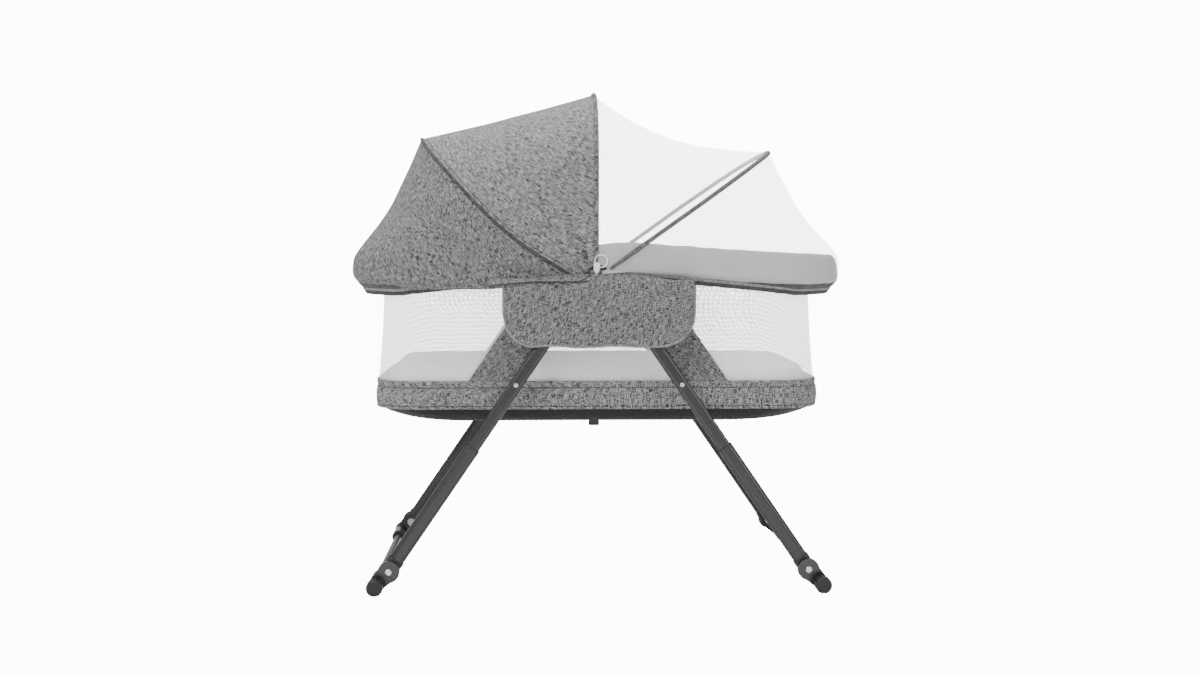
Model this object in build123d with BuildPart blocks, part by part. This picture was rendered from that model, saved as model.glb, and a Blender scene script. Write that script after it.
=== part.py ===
"""Portable bassinet on a folding stand: net-walled basket, A-frame telescoping legs, three-hoop canopy.

Millimetres, +Z up, X along the basket, -Y the front. The origin is on the floor under the basket's centre.
"""

import os
from math import atan, cos, radians, sin, tan

from build123d import *

os.makedirs("parts", exist_ok=True)

# Faces: -1 is the front, +1 the rear. Sides: -1 is the left, +1 the right.
FACES = {"front": -1, "rear": 1}
SIDES = {"left": -1, "right": 1}

# Top rail
RAIL_Z = 585
RAIL_HALF_LENGTH = 428
RAIL_HALF_WIDTH = 226
RAIL_CORNER = 95
RAIL_RADIUS = 10
COVER_OUTER = 16.5
COVER_INNER = 10.4
RAIL_WALL = 1.4
COVER_GAP = 2

# Hubs: a block on the rail with a web down to the leg pivots, bosses and a plain cap
HUB_HALF = 40
HUB_HEIGHT = 38
HUB_EDGE = 8
HUB_INNER_Y = 212
HUB_OUTER_Y = 241
HUB_WEB_DEPTH = 11
HUB_WEB = [(-38, 570), (38, 570), (62, 528), (62, 508), (-62, 508), (-62, 528), (-38, 570)]
BOSS_RADIUS = 9
BOSS_DEPTH = 13
HUB_CAP_Z = 589
HUB_CAP_RADIUS = 12.5
HUB_CAP_THICK = 2.6
RAIL_PLUG = 28

# Basket
FLOOR_LENGTH = 806
RIM_LENGTH = 782
NET_WIDTH = 446
NET_CORNER = 84
NET_WALL = 1.5
NET_TOP = 557
BAND_LENGTH = 810
BAND_WIDTH = 456
BAND_CORNER = 88
BAND_TOP = 371
BAND_BOTTOM = 322
BAND_WALL = 2
TRAY_BOTTOM = 294
TRAY_WALL = 2.2
TRAY_SHORTER = 110
TRAY_NARROWER = 70
TRAY_CORNER = 58
FRAME_Z = 340
FRAME_HALF_LENGTH = 397
FRAME_HALF_WIDTH = 219
FRAME_CORNER = 78
FRAME_WIRE = 4
BOARD_BOTTOM = 344.3
BOARD_THICK = 5
BOARD_LENGTH = 396
BOARD_WIDTH = 436
BOARD_CORNER = 76
BOARD_GAP = 3
MATTRESS_BOTTOM = 349.8
MATTRESS_TOP = 400
MATTRESS_LENGTH = 786
MATTRESS_WIDTH = 430
MATTRESS_CORNER = 74
MATTRESS_EDGE = 12
GUSSET_WALL = 1.4
GUSSET_TOP = 545
# Half of a gusset's outline, from its outer foot: x and z
GUSSET_EDGE = [(236, BAND_TOP + 1), (149, BAND_TOP + 1), (62, 498), (62, GUSSET_TOP), (117, GUSSET_TOP)]

# Legs: both centrelines meet at the apex above the hub
APEX_Z = 585
LEG_SLOPE = 0.685
LEG_TILT = atan(LEG_SLOPE)
LEG_Y = 262
LEG_PIVOT_Z = 519
DISC_Z = 37
UPPER_WIDTH = 23.5
UPPER_DEPTH = 14
UPPER_WALL = 1.4
UPPER_HEAD = 20
LOWER_WIDTH = 27.6
LOWER_DEPTH = 18
SLIDE_GAP = 0.3
STEP_Z = 253
INSERT = 130
SNAP_ALONG = 182
SNAP_RADIUS = 4.3
SNAP_FLANGE = 5.2
PIN_RADIUS = 4
PIN_GAP = 0.05
PIN_START_Y = 230
LEG_PIN_LENGTH = 39.6
LEG_PIN_HEAD = 7
HOOP_PIN_LENGTH = 21
HOOP_PIN_HEAD = 6.5
EYE_RADIUS = 17
EYE_NECK = 24

# Foot bars
BAR_X = 398
BAR_Z = 14
BAR_RADIUS = 7.5
SLEEVE_RADIUS = 13.5
CAP_RADIUS = 15
SLEEVE_INNER_Y = 205
SLEEVE_OUTER_Y = 288
DISC_RADIUS = 19.5
DISC_INNER_Y = 271.5
DISC_OUTER_Y = 281
RING_LENGTH = 5
CAP_OUTER_Y = 313

# Canopy hoops, all turning on one axis at the hub
HOOP_X = -4
HOOP_Z = 560
HOOP_RADIUS = 2
HOOP_EYE = 10
HOOP_EYE_THICK = 1.6
HOOP_LAYERS = {"left": 245.0, "centre": 247.4, "right": 249.8}
# Each row is a point of the front half: x, z and distance from the middle plane
HOOP_POINTS = {
    "left": [(-36, 556, 0), (-134, 616, 0), (-208, 680, 3), (-288, 767, 60), (-324, 812, 160)],
    "centre": [(-4, 586, 0), (-4, 700, 0), (-4, 800, 3), (-4, 870, 65), (-4, 897, 165)],
    "right": [(19, 574, 0), (120, 646, 0), (200, 703, 3), (281, 760, 60), (324, 789, 160)],
}

# Canopy cloth, between the hoops
CLOTH_WALL = 2
CLOTH_HALF_WIDTH = 240
CLOTH_CORNER = 120
CLOTH_START = 75
CLOTH_BOTTOM = 606
CLOTH_LEFT = (-46, 553, 137.0, 379)
CLOTH_CENTRE = (-4, 560, 90.0, 334)
CLOTH_RIGHT = (-4, 560, 35.0, 398)
CLOTH_END_RADIUS = 428
CLOTH_END_ANGLE = 5.0

# Zip slider and its pull, in front of the centre hoop
ZIP_Y = 252.9
ZIP_Z = 579
ZIP_SIZE = (11, 15)
ZIP_THICK = 4
PULL_Z = 574
PULL_SIZE = (7, 13)

# Front and rear flaps
FLAP_HALF = 170
FLAP_BOTTOM = 438
FLAP_TOP = 549
FLAP_CORNER = 60
FLAP_INNER_Y = 271.5
FLAP_WALL = 2.5
FLAP_RETURN_Y = 253

# Pull strap under the floor, and the end of the canopy's elastic cord
STRAP_X = -6
STRAP_Y = 150
STRAP_DROP = 5.2
STRAP_SIZE = (20, 10)
CORD_PLACE = (-164, -247)
CORD_BOTTOM = 526
CORD_LENGTH = 16
CORD_RADIUS = 1.6


def save(part, name):
    """Label a finished piece and write its STEP file."""
    part.label = name
    export_step(part, f"parts/{name}.step")


def face_plane(face, distance):
    """Upright plane facing outwards from the front or the rear; its y runs up."""
    return Plane(origin=(0, face * distance, 0), x_dir=(-face, 0, 0), z_dir=(0, face, 0))


def across(face, x):
    """World x as the x of a face plane."""
    return -face * x


def leg_point(z, side):
    """World x and z of the leg's centreline at height z."""
    return side * LEG_SLOPE * (APEX_Z - z), z


def leg_plane(side, face, along):
    """Plane across a leg, the given way down its centreline from the pivot, facing the foot."""
    x, z = leg_point(LEG_PIVOT_Z - along * cos(LEG_TILT), side)
    return Plane(
        origin=(x, face * LEG_Y, z),
        x_dir=(side * cos(LEG_TILT), 0, sin(LEG_TILT)),
        z_dir=(side * sin(LEG_TILT), 0, -cos(LEG_TILT)),
    )


def along_leg(z):
    """Distance down the centreline from the pivot to height z."""
    return (LEG_PIVOT_Z - z) / cos(LEG_TILT)


STEP_ALONG = along_leg(STEP_Z)
DISC_ALONG = along_leg(DISC_Z)
DISC_X = LEG_SLOPE * (APEX_Z - DISC_Z)


# ---- Top rail, its padded covers and the two hubs ----


def rail_line(side, start):
    """Centreline of one half of the rail: a U from the front hub round the end to the rear hub."""
    corner_x = RAIL_HALF_LENGTH - RAIL_CORNER
    corner_y = RAIL_HALF_WIDTH - RAIL_CORNER
    turn = RAIL_CORNER * (1 - cos(radians(45)))
    with BuildLine() as line:
        Line((side * start, -RAIL_HALF_WIDTH, RAIL_Z), (side * corner_x, -RAIL_HALF_WIDTH, RAIL_Z))
        ThreePointArc(
            (side * corner_x, -RAIL_HALF_WIDTH, RAIL_Z),
            (side * (RAIL_HALF_LENGTH - turn), -(RAIL_HALF_WIDTH - turn), RAIL_Z),
            (side * RAIL_HALF_LENGTH, -corner_y, RAIL_Z),
        )
        Line((side * RAIL_HALF_LENGTH, -corner_y, RAIL_Z), (side * RAIL_HALF_LENGTH, corner_y, RAIL_Z))
        ThreePointArc(
            (side * RAIL_HALF_LENGTH, corner_y, RAIL_Z),
            (side * (RAIL_HALF_LENGTH - turn), RAIL_HALF_WIDTH - turn, RAIL_Z),
            (side * corner_x, RAIL_HALF_WIDTH, RAIL_Z),
        )
        Line((side * corner_x, RAIL_HALF_WIDTH, RAIL_Z), (side * start, RAIL_HALF_WIDTH, RAIL_Z))
    return line


def rail_tube(side, start, outer, inner):
    """Round tube of the given radii along one half of the rail."""
    line = rail_line(side, start)
    with BuildPart() as tube:
        with BuildSketch(Plane(origin=line.line @ 0, z_dir=line.line % 0)):
            Circle(outer)
            Circle(inner, mode=Mode.SUBTRACT)
        sweep(path=line.line)
    return tube


for side_name, side in SIDES.items():
    rail = rail_tube(side, HUB_HALF - RAIL_PLUG, RAIL_RADIUS, RAIL_RADIUS - RAIL_WALL)
    save(rail.part, f"rail_{side_name}")
    cover = rail_tube(side, HUB_HALF + COVER_GAP, COVER_OUTER, COVER_INNER)
    save(cover.part, f"rail_cover_{side_name}")

for face_name, face in FACES.items():
    with BuildPart() as hub:
        with BuildSketch(face_plane(face, HUB_INNER_Y)):
            with Locations((0, RAIL_Z)):
                RectangleRounded(2 * HUB_HALF, HUB_HEIGHT, HUB_EDGE)
        extrude(amount=HUB_OUTER_Y - HUB_INNER_Y)
        with BuildSketch(face_plane(face, HUB_OUTER_Y - HUB_WEB_DEPTH)):
            with BuildLine():
                Polyline(*HUB_WEB)
            make_face()
        extrude(amount=HUB_WEB_DEPTH)
        with BuildSketch(face_plane(face, HUB_OUTER_Y)):
            for side in SIDES.values():
                with Locations((leg_point(LEG_PIVOT_Z, side)[0], LEG_PIVOT_Z)):
                    Circle(BOSS_RADIUS)
        extrude(amount=BOSS_DEPTH)
        with BuildSketch(face_plane(face, PIN_START_Y - 10)):
            for side in SIDES.values():
                with Locations((leg_point(LEG_PIVOT_Z, side)[0], LEG_PIVOT_Z)):
                    Circle(PIN_RADIUS)
            with Locations((across(face, HOOP_X), HOOP_Z)):
                Circle(PIN_RADIUS)
        extrude(amount=50, mode=Mode.SUBTRACT)
        for side in SIDES.values():
            plane = Plane(
                origin=(side * (HUB_HALF + 1), face * RAIL_HALF_WIDTH, RAIL_Z), z_dir=(-side, 0, 0)
            )
            with BuildSketch(plane):
                Circle(RAIL_RADIUS + 0.1)
            extrude(amount=RAIL_PLUG + 1.5, mode=Mode.SUBTRACT)
    save(hub.part, f"hub_{face_name}")

# Plain round cap over each hub, above the flap
with BuildPart() as hub_caps:
    for face in FACES.values():
        with BuildSketch(face_plane(face, HUB_OUTER_Y)):
            with Locations((0, HUB_CAP_Z)):
                Circle(HUB_CAP_RADIUS)
        extrude(amount=HUB_CAP_THICK)
    fillet(hub_caps.edges().filter_by(GeomType.CIRCLE).group_by(Axis.Y)[0], 1)
    fillet(hub_caps.edges().filter_by(GeomType.CIRCLE).group_by(Axis.Y)[-1], 1)
save(hub_caps.part, "hub_caps")

# Pins: each leg turns on one, and the hoops share one on each hub
with BuildPart() as leg_pins:
    for face in FACES.values():
        for side in SIDES.values():
            with BuildSketch(face_plane(face, PIN_START_Y)):
                with Locations((leg_point(LEG_PIVOT_Z, side)[0], LEG_PIVOT_Z)):
                    Circle(PIN_RADIUS)
            extrude(amount=LEG_PIN_LENGTH)
            with BuildSketch(face_plane(face, PIN_START_Y + LEG_PIN_LENGTH - 0.4)):
                with Locations((leg_point(LEG_PIVOT_Z, side)[0], LEG_PIVOT_Z)):
                    Circle(LEG_PIN_HEAD)
            extrude(amount=1.6)
save(leg_pins.part, "leg_pivot_pins")

with BuildPart() as hoop_pins:
    for face in FACES.values():
        with BuildSketch(face_plane(face, PIN_START_Y)):
            with Locations((across(face, HOOP_X), HOOP_Z)):
                Circle(PIN_RADIUS)
        extrude(amount=HOOP_PIN_LENGTH)
        with BuildSketch(face_plane(face, PIN_START_Y + HOOP_PIN_LENGTH - 0.2)):
            with Locations((across(face, HOOP_X), HOOP_Z)):
                Circle(HOOP_PIN_HEAD)
        extrude(amount=1.8)
save(hoop_pins.part, "hoop_pivot_pins")


# ---- Basket: net walls, band, tray, floor and mattress ----

with BuildPart() as net_wall:
    for inset, mode in ((0, Mode.ADD), (NET_WALL, Mode.SUBTRACT)):
        with BuildSketch(Plane.XY.offset(BAND_TOP + 0.3)):
            RectangleRounded(FLOOR_LENGTH - 2 * inset, NET_WIDTH - 2 * inset, NET_CORNER - inset)
        with BuildSketch(Plane.XY.offset(NET_TOP)):
            RectangleRounded(RIM_LENGTH - 2 * inset, NET_WIDTH - 2 * inset, NET_CORNER - inset)
        loft(mode=mode)
save(net_wall.part, "net_wall")

with BuildPart() as band:
    with BuildSketch(Plane.XY.offset(BAND_BOTTOM + 0.3)):
        RectangleRounded(BAND_LENGTH, BAND_WIDTH, BAND_CORNER)
        RectangleRounded(
            BAND_LENGTH - 2 * BAND_WALL, BAND_WIDTH - 2 * BAND_WALL, BAND_CORNER - BAND_WALL, mode=Mode.SUBTRACT
        )
    extrude(amount=BAND_TOP - BAND_BOTTOM - 0.3)
save(band.part, "lower_band")

with BuildPart() as tray:
    for inset, mode in ((0, Mode.ADD), (TRAY_WALL, Mode.SUBTRACT)):
        with BuildSketch(Plane.XY.offset(BAND_BOTTOM)):
            RectangleRounded(BAND_LENGTH - 2 * inset, BAND_WIDTH - 2 * inset, BAND_CORNER - inset)
        with BuildSketch(Plane.XY.offset(TRAY_BOTTOM + inset)):
            RectangleRounded(BAND_LENGTH - TRAY_SHORTER, BAND_WIDTH - TRAY_NARROWER, TRAY_CORNER)
        loft(mode=mode)
save(tray.part, "bottom_tray")

with BuildSketch(Plane.XY.offset(FRAME_Z)) as frame_outline:
    RectangleRounded(2 * FRAME_HALF_LENGTH, 2 * FRAME_HALF_WIDTH, FRAME_CORNER)
frame_path = frame_outline.sketch.face().outer_wire()
with BuildPart() as floor_frame:
    with BuildSketch(Plane(origin=frame_path @ 0, z_dir=frame_path % 0)):
        Circle(FRAME_WIRE)
    sweep(path=frame_path)
save(floor_frame.part, "floor_frame")

for side_name, side in SIDES.items():
    with BuildPart() as board:
        with BuildSketch(Plane.XY.offset(BOARD_BOTTOM)) as outline:
            with Locations((side * (BOARD_LENGTH + BOARD_GAP) / 2, 0)):
                Rectangle(BOARD_LENGTH, BOARD_WIDTH)
            fillet(outline.vertices().group_by(Axis.X)[0 if side < 0 else -1], BOARD_CORNER)
        extrude(amount=BOARD_THICK)
    save(board.part, f"floor_board_{side_name}")

with BuildPart() as mattress:
    with BuildSketch(Plane.XY.offset(MATTRESS_BOTTOM)):
        RectangleRounded(MATTRESS_LENGTH, MATTRESS_WIDTH, MATTRESS_CORNER)
    extrude(amount=MATTRESS_TOP - MATTRESS_BOTTOM)
    fillet(mattress.edges().group_by(Axis.Z)[-1], MATTRESS_EDGE)
save(mattress.part, "mattress")

# Diagonal cloth gussets sewn over the net behind each leg
for face_name, face in FACES.items():
    with BuildPart() as gussets:
        with BuildSketch(face_plane(face, NET_WIDTH / 2 + 0.4)):
            for side in SIDES.values():
                with BuildLine():
                    Polyline(*[(side * x, z) for x, z in GUSSET_EDGE], close=True)
                make_face()
        extrude(amount=GUSSET_WALL)
    save(gussets.part, f"gussets_{face_name}")

for face_name, face in FACES.items():
    with BuildPart() as flap:
        with BuildSketch(face_plane(face, FLAP_INNER_Y)) as outline:
            with Locations((0, (FLAP_TOP + FLAP_BOTTOM) / 2)):
                Rectangle(2 * FLAP_HALF, FLAP_TOP - FLAP_BOTTOM)
            fillet(outline.vertices().group_by(Axis.Y)[0], FLAP_CORNER)
        extrude(amount=FLAP_WALL)
        with BuildSketch(face_plane(face, FLAP_RETURN_Y)):
            with Locations((0, FLAP_TOP - FLAP_WALL / 2)):
                Rectangle(2 * FLAP_HALF, FLAP_WALL)
        extrude(amount=FLAP_INNER_Y - FLAP_RETURN_Y)
    save(flap.part, f"flap_{face_name}")

with BuildPart() as pull_strap:
    with BuildSketch(face_plane(-1, STRAP_Y)):
        with Locations((STRAP_X, TRAY_BOTTOM - STRAP_DROP)):
            RectangleRounded(*STRAP_SIZE, 3)
    extrude(amount=2)
save(pull_strap.part, "pull_strap")

with BuildPart() as drawcord:
    with BuildSketch(Plane.XY.offset(CORD_BOTTOM)):
        with Locations(CORD_PLACE):
            Circle(CORD_RADIUS)
    extrude(amount=CORD_LENGTH)
save(drawcord.part, "drawcord_end")


# ---- Legs: two telescoping tubes at each corner ----


def slot_tube(side, face, start, end, size, bore):
    """Flat-oval tube between two distances down the leg."""
    with BuildPart() as tube:
        with BuildSketch(leg_plane(side, face, start)):
            SlotOverall(*size)
            SlotOverall(*bore, mode=Mode.SUBTRACT)
        extrude(amount=end - start)
    return tube


def upper_leg(side, face):
    """Inner tube: solid at the pivot, hollow below, with a hole for the snap button."""
    pivot_x, pivot_z = leg_point(LEG_PIVOT_Z, side)
    snap_x, snap_z = leg_point(LEG_PIVOT_Z - SNAP_ALONG * cos(LEG_TILT), side)
    bore = (UPPER_WIDTH - 2 * UPPER_WALL, UPPER_DEPTH - 2 * UPPER_WALL)
    with BuildPart() as leg:
        with BuildSketch(leg_plane(side, face, -12)):
            SlotOverall(UPPER_WIDTH, UPPER_DEPTH)
        extrude(amount=STEP_ALONG + INSERT + 12)
        with BuildSketch(leg_plane(side, face, UPPER_HEAD)):
            SlotOverall(*bore)
        extrude(amount=STEP_ALONG + INSERT, mode=Mode.SUBTRACT)
        with BuildSketch(face_plane(face, LEG_Y - 20)):
            with Locations((across(face, pivot_x), pivot_z)):
                Circle(PIN_RADIUS + PIN_GAP)
        extrude(amount=40, mode=Mode.SUBTRACT)
        with BuildSketch(face_plane(face, LEG_Y)):
            with Locations((across(face, snap_x), snap_z)):
                Circle(SNAP_RADIUS + PIN_GAP)
        extrude(amount=20, mode=Mode.SUBTRACT)
    return leg


def snap_button(side, face):
    """Sprung dome with a flange behind the tube's wall."""
    x, z = leg_point(LEG_PIVOT_Z - SNAP_ALONG * cos(LEG_TILT), side)
    wall = LEG_Y + UPPER_DEPTH / 2
    with BuildPart() as button:
        with BuildSketch(face_plane(face, wall - UPPER_WALL - 1.5)):
            with Locations((across(face, x), z)):
                Circle(SNAP_FLANGE)
        extrude(amount=1.4)
        with BuildSketch(face_plane(face, wall - UPPER_WALL - 0.5)):
            with Locations((across(face, x), z)):
                Circle(SNAP_RADIUS)
        extrude(amount=UPPER_WALL + 3)
        tip = button.edges().filter_by(GeomType.CIRCLE).sort_by(Axis.Y)[0 if face < 0 else -1]
        fillet(tip, 2)
    return button


def leg_foot(side, face):
    """Moulded end of the lower tube, with the eye that the foot turns on."""
    with BuildPart() as foot:
        with BuildSketch(leg_plane(side, face, DISC_ALONG - EYE_NECK)):
            SlotOverall(LOWER_WIDTH + 3, LOWER_DEPTH)
        extrude(amount=EYE_NECK - 6)
        with BuildSketch(face_plane(face, LEG_Y - LOWER_DEPTH / 2)):
            with Locations((across(face, side * DISC_X), DISC_Z)):
                Circle(EYE_RADIUS)
        extrude(amount=LOWER_DEPTH)
        with BuildSketch(face_plane(face, LEG_Y - 20)):
            with Locations((across(face, side * DISC_X), DISC_Z)):
                Circle(PIN_RADIUS + PIN_GAP)
        extrude(amount=40, mode=Mode.SUBTRACT)
    return foot


lower_bore = (UPPER_WIDTH + 2 * SLIDE_GAP, UPPER_DEPTH + 2 * SLIDE_GAP)
bush_bore = (UPPER_WIDTH + 0.3, UPPER_DEPTH + 0.3)
for side_name, side in SIDES.items():
    for face_name, face in FACES.items():
        save(upper_leg(side, face).part, f"upper_leg_{side_name}_{face_name}")
        save(snap_button(side, face).part, f"snap_button_{side_name}_{face_name}")
        lower = slot_tube(
            side, face, STEP_ALONG, DISC_ALONG - EYE_NECK - 0.1, (LOWER_WIDTH, LOWER_DEPTH), lower_bore
        )
        save(lower.part, f"lower_leg_{side_name}_{face_name}")
        save(leg_foot(side, face).part, f"leg_foot_{side_name}_{face_name}")
    with BuildPart() as bushes:
        for face in FACES.values():
            with BuildSketch(leg_plane(side, face, STEP_ALONG - 4.6)):
                SlotOverall(LOWER_WIDTH, LOWER_DEPTH)
                SlotOverall(*bush_bore, mode=Mode.SUBTRACT)
            extrude(amount=4.5)
    save(bushes.part, f"slide_bushes_{side_name}")


# ---- Foot bars: cross tube, castings, rings, bolts and end caps ----


def foot_casting(side, face):
    """Disc beside the leg's eye, an arm down to the bar, and the sleeve that grips the bar."""
    with BuildPart() as casting:
        with BuildSketch(face_plane(face, DISC_INNER_Y)):
            with BuildLine():
                CenterArc((across(face, side * DISC_X), DISC_Z), DISC_RADIUS - 2, 0, 360)
                CenterArc((across(face, side * BAR_X), BAR_Z), SLEEVE_RADIUS, 0, 360)
            make_hull()
        extrude(amount=DISC_OUTER_Y - DISC_INNER_Y - 2)
        with BuildSketch(face_plane(face, DISC_INNER_Y)):
            with Locations((across(face, side * DISC_X), DISC_Z)):
                Circle(DISC_RADIUS)
        extrude(amount=DISC_OUTER_Y - DISC_INNER_Y)
        with BuildSketch(face_plane(face, SLEEVE_INNER_Y)):
            with Locations((across(face, side * BAR_X), BAR_Z)):
                Circle(SLEEVE_RADIUS)
        extrude(amount=SLEEVE_OUTER_Y - SLEEVE_INNER_Y)
        with BuildSketch(face_plane(face, SLEEVE_INNER_Y - 1)):
            with Locations((across(face, side * BAR_X), BAR_Z)):
                Circle(BAR_RADIUS + 0.1)
        extrude(amount=SLEEVE_OUTER_Y - SLEEVE_INNER_Y + 2, mode=Mode.SUBTRACT)
        with BuildSketch(face_plane(face, DISC_INNER_Y - 1)):
            with Locations((across(face, side * DISC_X), DISC_Z)):
                Circle(PIN_RADIUS)
        extrude(amount=20, mode=Mode.SUBTRACT)
    return casting


for side_name, side in SIDES.items():
    for face_name, face in FACES.items():
        save(foot_casting(side, face).part, f"foot_casting_{side_name}_{face_name}")

    with BuildPart() as bar:
        with BuildSketch(face_plane(-1, CAP_OUTER_Y - 4)):
            with Locations((side * BAR_X, BAR_Z)):
                Circle(BAR_RADIUS)
                Circle(BAR_RADIUS - 1.2, mode=Mode.SUBTRACT)
        extrude(amount=-2 * (CAP_OUTER_Y - 4))
    save(bar.part, f"foot_bar_{side_name}")

    # Dark rings that close each sleeve, inboard and outboard
    with BuildPart() as rings:
        for face in FACES.values():
            for start in (SLEEVE_INNER_Y - RING_LENGTH - 0.1, SLEEVE_OUTER_Y + 0.1):
                with BuildSketch(face_plane(face, start)):
                    with Locations((across(face, side * BAR_X), BAR_Z)):
                        Circle(SLEEVE_RADIUS - 1)
                        Circle(BAR_RADIUS + 0.1, mode=Mode.SUBTRACT)
                extrude(amount=RING_LENGTH)
    save(rings.part, f"sleeve_rings_{side_name}")

    with BuildPart() as caps:
        for face in FACES.values():
            start = SLEEVE_OUTER_Y + RING_LENGTH + 0.3
            with BuildSketch(face_plane(face, start)):
                with Locations((across(face, side * BAR_X), BAR_Z)):
                    Circle(CAP_RADIUS)
            extrude(amount=CAP_OUTER_Y - start)
            with BuildSketch(face_plane(face, start - 1)):
                with Locations((across(face, side * BAR_X), BAR_Z)):
                    Circle(BAR_RADIUS + 0.1)
            extrude(amount=CAP_OUTER_Y - start - 2, mode=Mode.SUBTRACT)
        for group in (0, -1):
            fillet(caps.edges().filter_by(GeomType.CIRCLE).group_by(Axis.Y)[group], 4)
        with BuildSketch(Plane.XY):
            with Locations((side * BAR_X, 0)):
                Rectangle(60, 2 * CAP_OUTER_Y + 20)
        extrude(amount=-10, mode=Mode.SUBTRACT)
    save(caps.part, f"end_caps_{side_name}")

    # Pivot bolts: a head inside the leg, the shank through the eye and a dome on the disc
    with BuildPart() as bolts:
        for face in FACES.values():
            for start, radius, length in (
                (LEG_Y - LOWER_DEPTH / 2 - 3.2, 8, 3),
                (LEG_Y - LOWER_DEPTH / 2 - 1, PIN_RADIUS, 30),
                (DISC_OUTER_Y + 0.05, 6, 2.6),
            ):
                with BuildSketch(face_plane(face, start)):
                    with Locations((across(face, side * DISC_X), DISC_Z)):
                        Circle(radius)
                extrude(amount=length)
        for group in (0, -1):
            fillet(bolts.edges().filter_by(GeomType.CIRCLE).group_by(Axis.Y)[group], 1.5)
    save(bolts.part, f"foot_bolts_{side_name}")


# ---- Canopy: three wire hoops, four cloth panels and the zip slider ----


def smooth_radii(points):
    """Corner radii that use 45 percent of the shorter run at each corner."""
    radii = []
    for before, here, after in zip(points, points[1:], points[2:]):
        first, second = here - before, after - here
        turn = radians(first.get_angle(second))
        radii.append(0.45 * min(first.length, second.length) / tan(turn / 2))
    return radii


def clean(points):
    """Points without those in line with their neighbours, which have no corner."""
    kept = [points[0]]
    for before, here, after in zip(points, points[1:], points[2:]):
        if (here - before).get_angle(after - here) > 0.2:
            kept.append(here)
    return kept + [points[-1]]


def hoop(name):
    """Spring-wire arch whose ends run into flat eyes on the hub's pin."""
    layer = HOOP_LAYERS[name]
    half = [(x, layer - inset, z) for x, z, inset in HOOP_POINTS[name]]
    points = clean([Vector(x, -y, z) for x, y, z in half] + [Vector(x, y, z) for x, y, z in reversed(half)])
    base_x, base_z = HOOP_POINTS[name][0][:2]
    reach_x, reach_z = base_x - HOOP_X, base_z - HOOP_Z
    length = (reach_x**2 + reach_z**2) ** 0.5
    with BuildPart() as arch:
        with BuildLine() as route:
            FilletPolyline(*points, radius=smooth_radii(points))
        with BuildSketch(Plane(origin=route.line @ 0, z_dir=route.line % 0)):
            Circle(HOOP_RADIUS)
        sweep(path=route.line)
        for face in FACES.values():
            with BuildSketch(face_plane(face, layer - HOOP_EYE_THICK / 2)):
                with Locations((across(face, HOOP_X), HOOP_Z)):
                    Circle(HOOP_EYE)
                with BuildLine():
                    side_x, side_z = -reach_z / length * HOOP_RADIUS, reach_x / length * HOOP_RADIUS
                    corners = [
                        (HOOP_X + side_x, HOOP_Z + side_z),
                        (base_x + side_x, base_z + side_z),
                        (base_x - side_x, base_z - side_z),
                        (HOOP_X - side_x, HOOP_Z - side_z),
                    ]
                    Polyline(*[(across(face, x), z) for x, z in corners], close=True)
                make_face()
            extrude(amount=HOOP_EYE_THICK)
            with BuildSketch(face_plane(face, layer - 5)):
                with Locations((across(face, HOOP_X), HOOP_Z)):
                    Circle(PIN_RADIUS + PIN_GAP)
            extrude(amount=10, mode=Mode.SUBTRACT)
    return arch


for name in HOOP_LAYERS:
    save(hoop(name).part, f"hoop_{name}")


def arch_face(arch, inset, shift):
    """Arch in the plane through (x, z) at an angle above +X, moved along its normal by the shift."""
    x, z, angle, radius = arch
    turn = radians(angle)
    plane = Plane(origin=(x, 0, z), x_dir=(0, 1, 0), z_dir=(sin(turn), 0, -cos(turn))).offset(shift)
    half, reach, corner = CLOTH_HALF_WIDTH - inset, radius - inset, CLOTH_CORNER - inset
    foot = CLOTH_START - 2 * inset
    with BuildSketch(plane) as arch_shape:
        with BuildLine():
            Line((-half, foot), (-half, reach - corner))
            RadiusArc((-half, reach - corner), (-half + corner, reach), corner)
            Line((-half + corner, reach), (half - corner, reach))
            RadiusArc((half - corner, reach), (half, reach - corner), corner)
            Line((half, reach - corner), (half, foot))
            Line((half, foot), (-half, foot))
        make_face()
    return arch_shape.sketch


def cloth_solid(start, end, inset, shifts):
    """Solid from one arch to the next, smaller all round by the inset."""
    with BuildPart() as solid:
        add(arch_face(start, inset, shifts[0]))
        add(arch_face(end, inset, -shifts[1]))
        loft(ruled=True)
    return solid


def cloth_panel(start, end, shifts):
    """Thin shell between two arches, short of each hoop by the shifts and cut off above the rail."""
    outer = cloth_solid(start, end, 0, shifts)
    inner = cloth_solid(start, end, CLOTH_WALL, (shifts[0] - 3, shifts[1] - 3))
    with BuildPart() as panel:
        add(outer.part)
        add(inner.part, mode=Mode.SUBTRACT)
        with BuildSketch(Plane.XY.offset(CLOTH_BOTTOM)):
            Rectangle(1100, 600)
        extrude(amount=-200, mode=Mode.SUBTRACT)
    return panel


END_LEFT = (HOOP_X, HOOP_Z, 180 - CLOTH_END_ANGLE, CLOTH_END_RADIUS)
END_RIGHT = (HOOP_X, HOOP_Z, CLOTH_END_ANGLE, CLOTH_END_RADIUS)
PANELS = {
    "canopy_end": (END_LEFT, CLOTH_LEFT, (5, 26)),
    "canopy_top": (CLOTH_LEFT, CLOTH_CENTRE, (5, 5)),
    "canopy_net_top": (CLOTH_CENTRE, CLOTH_RIGHT, (5, 5)),
    "canopy_net_end": (CLOTH_RIGHT, END_RIGHT, (5, 5)),
}
for name, (start, end, shifts) in PANELS.items():
    save(cloth_panel(start, end, shifts).part, name)

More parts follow.
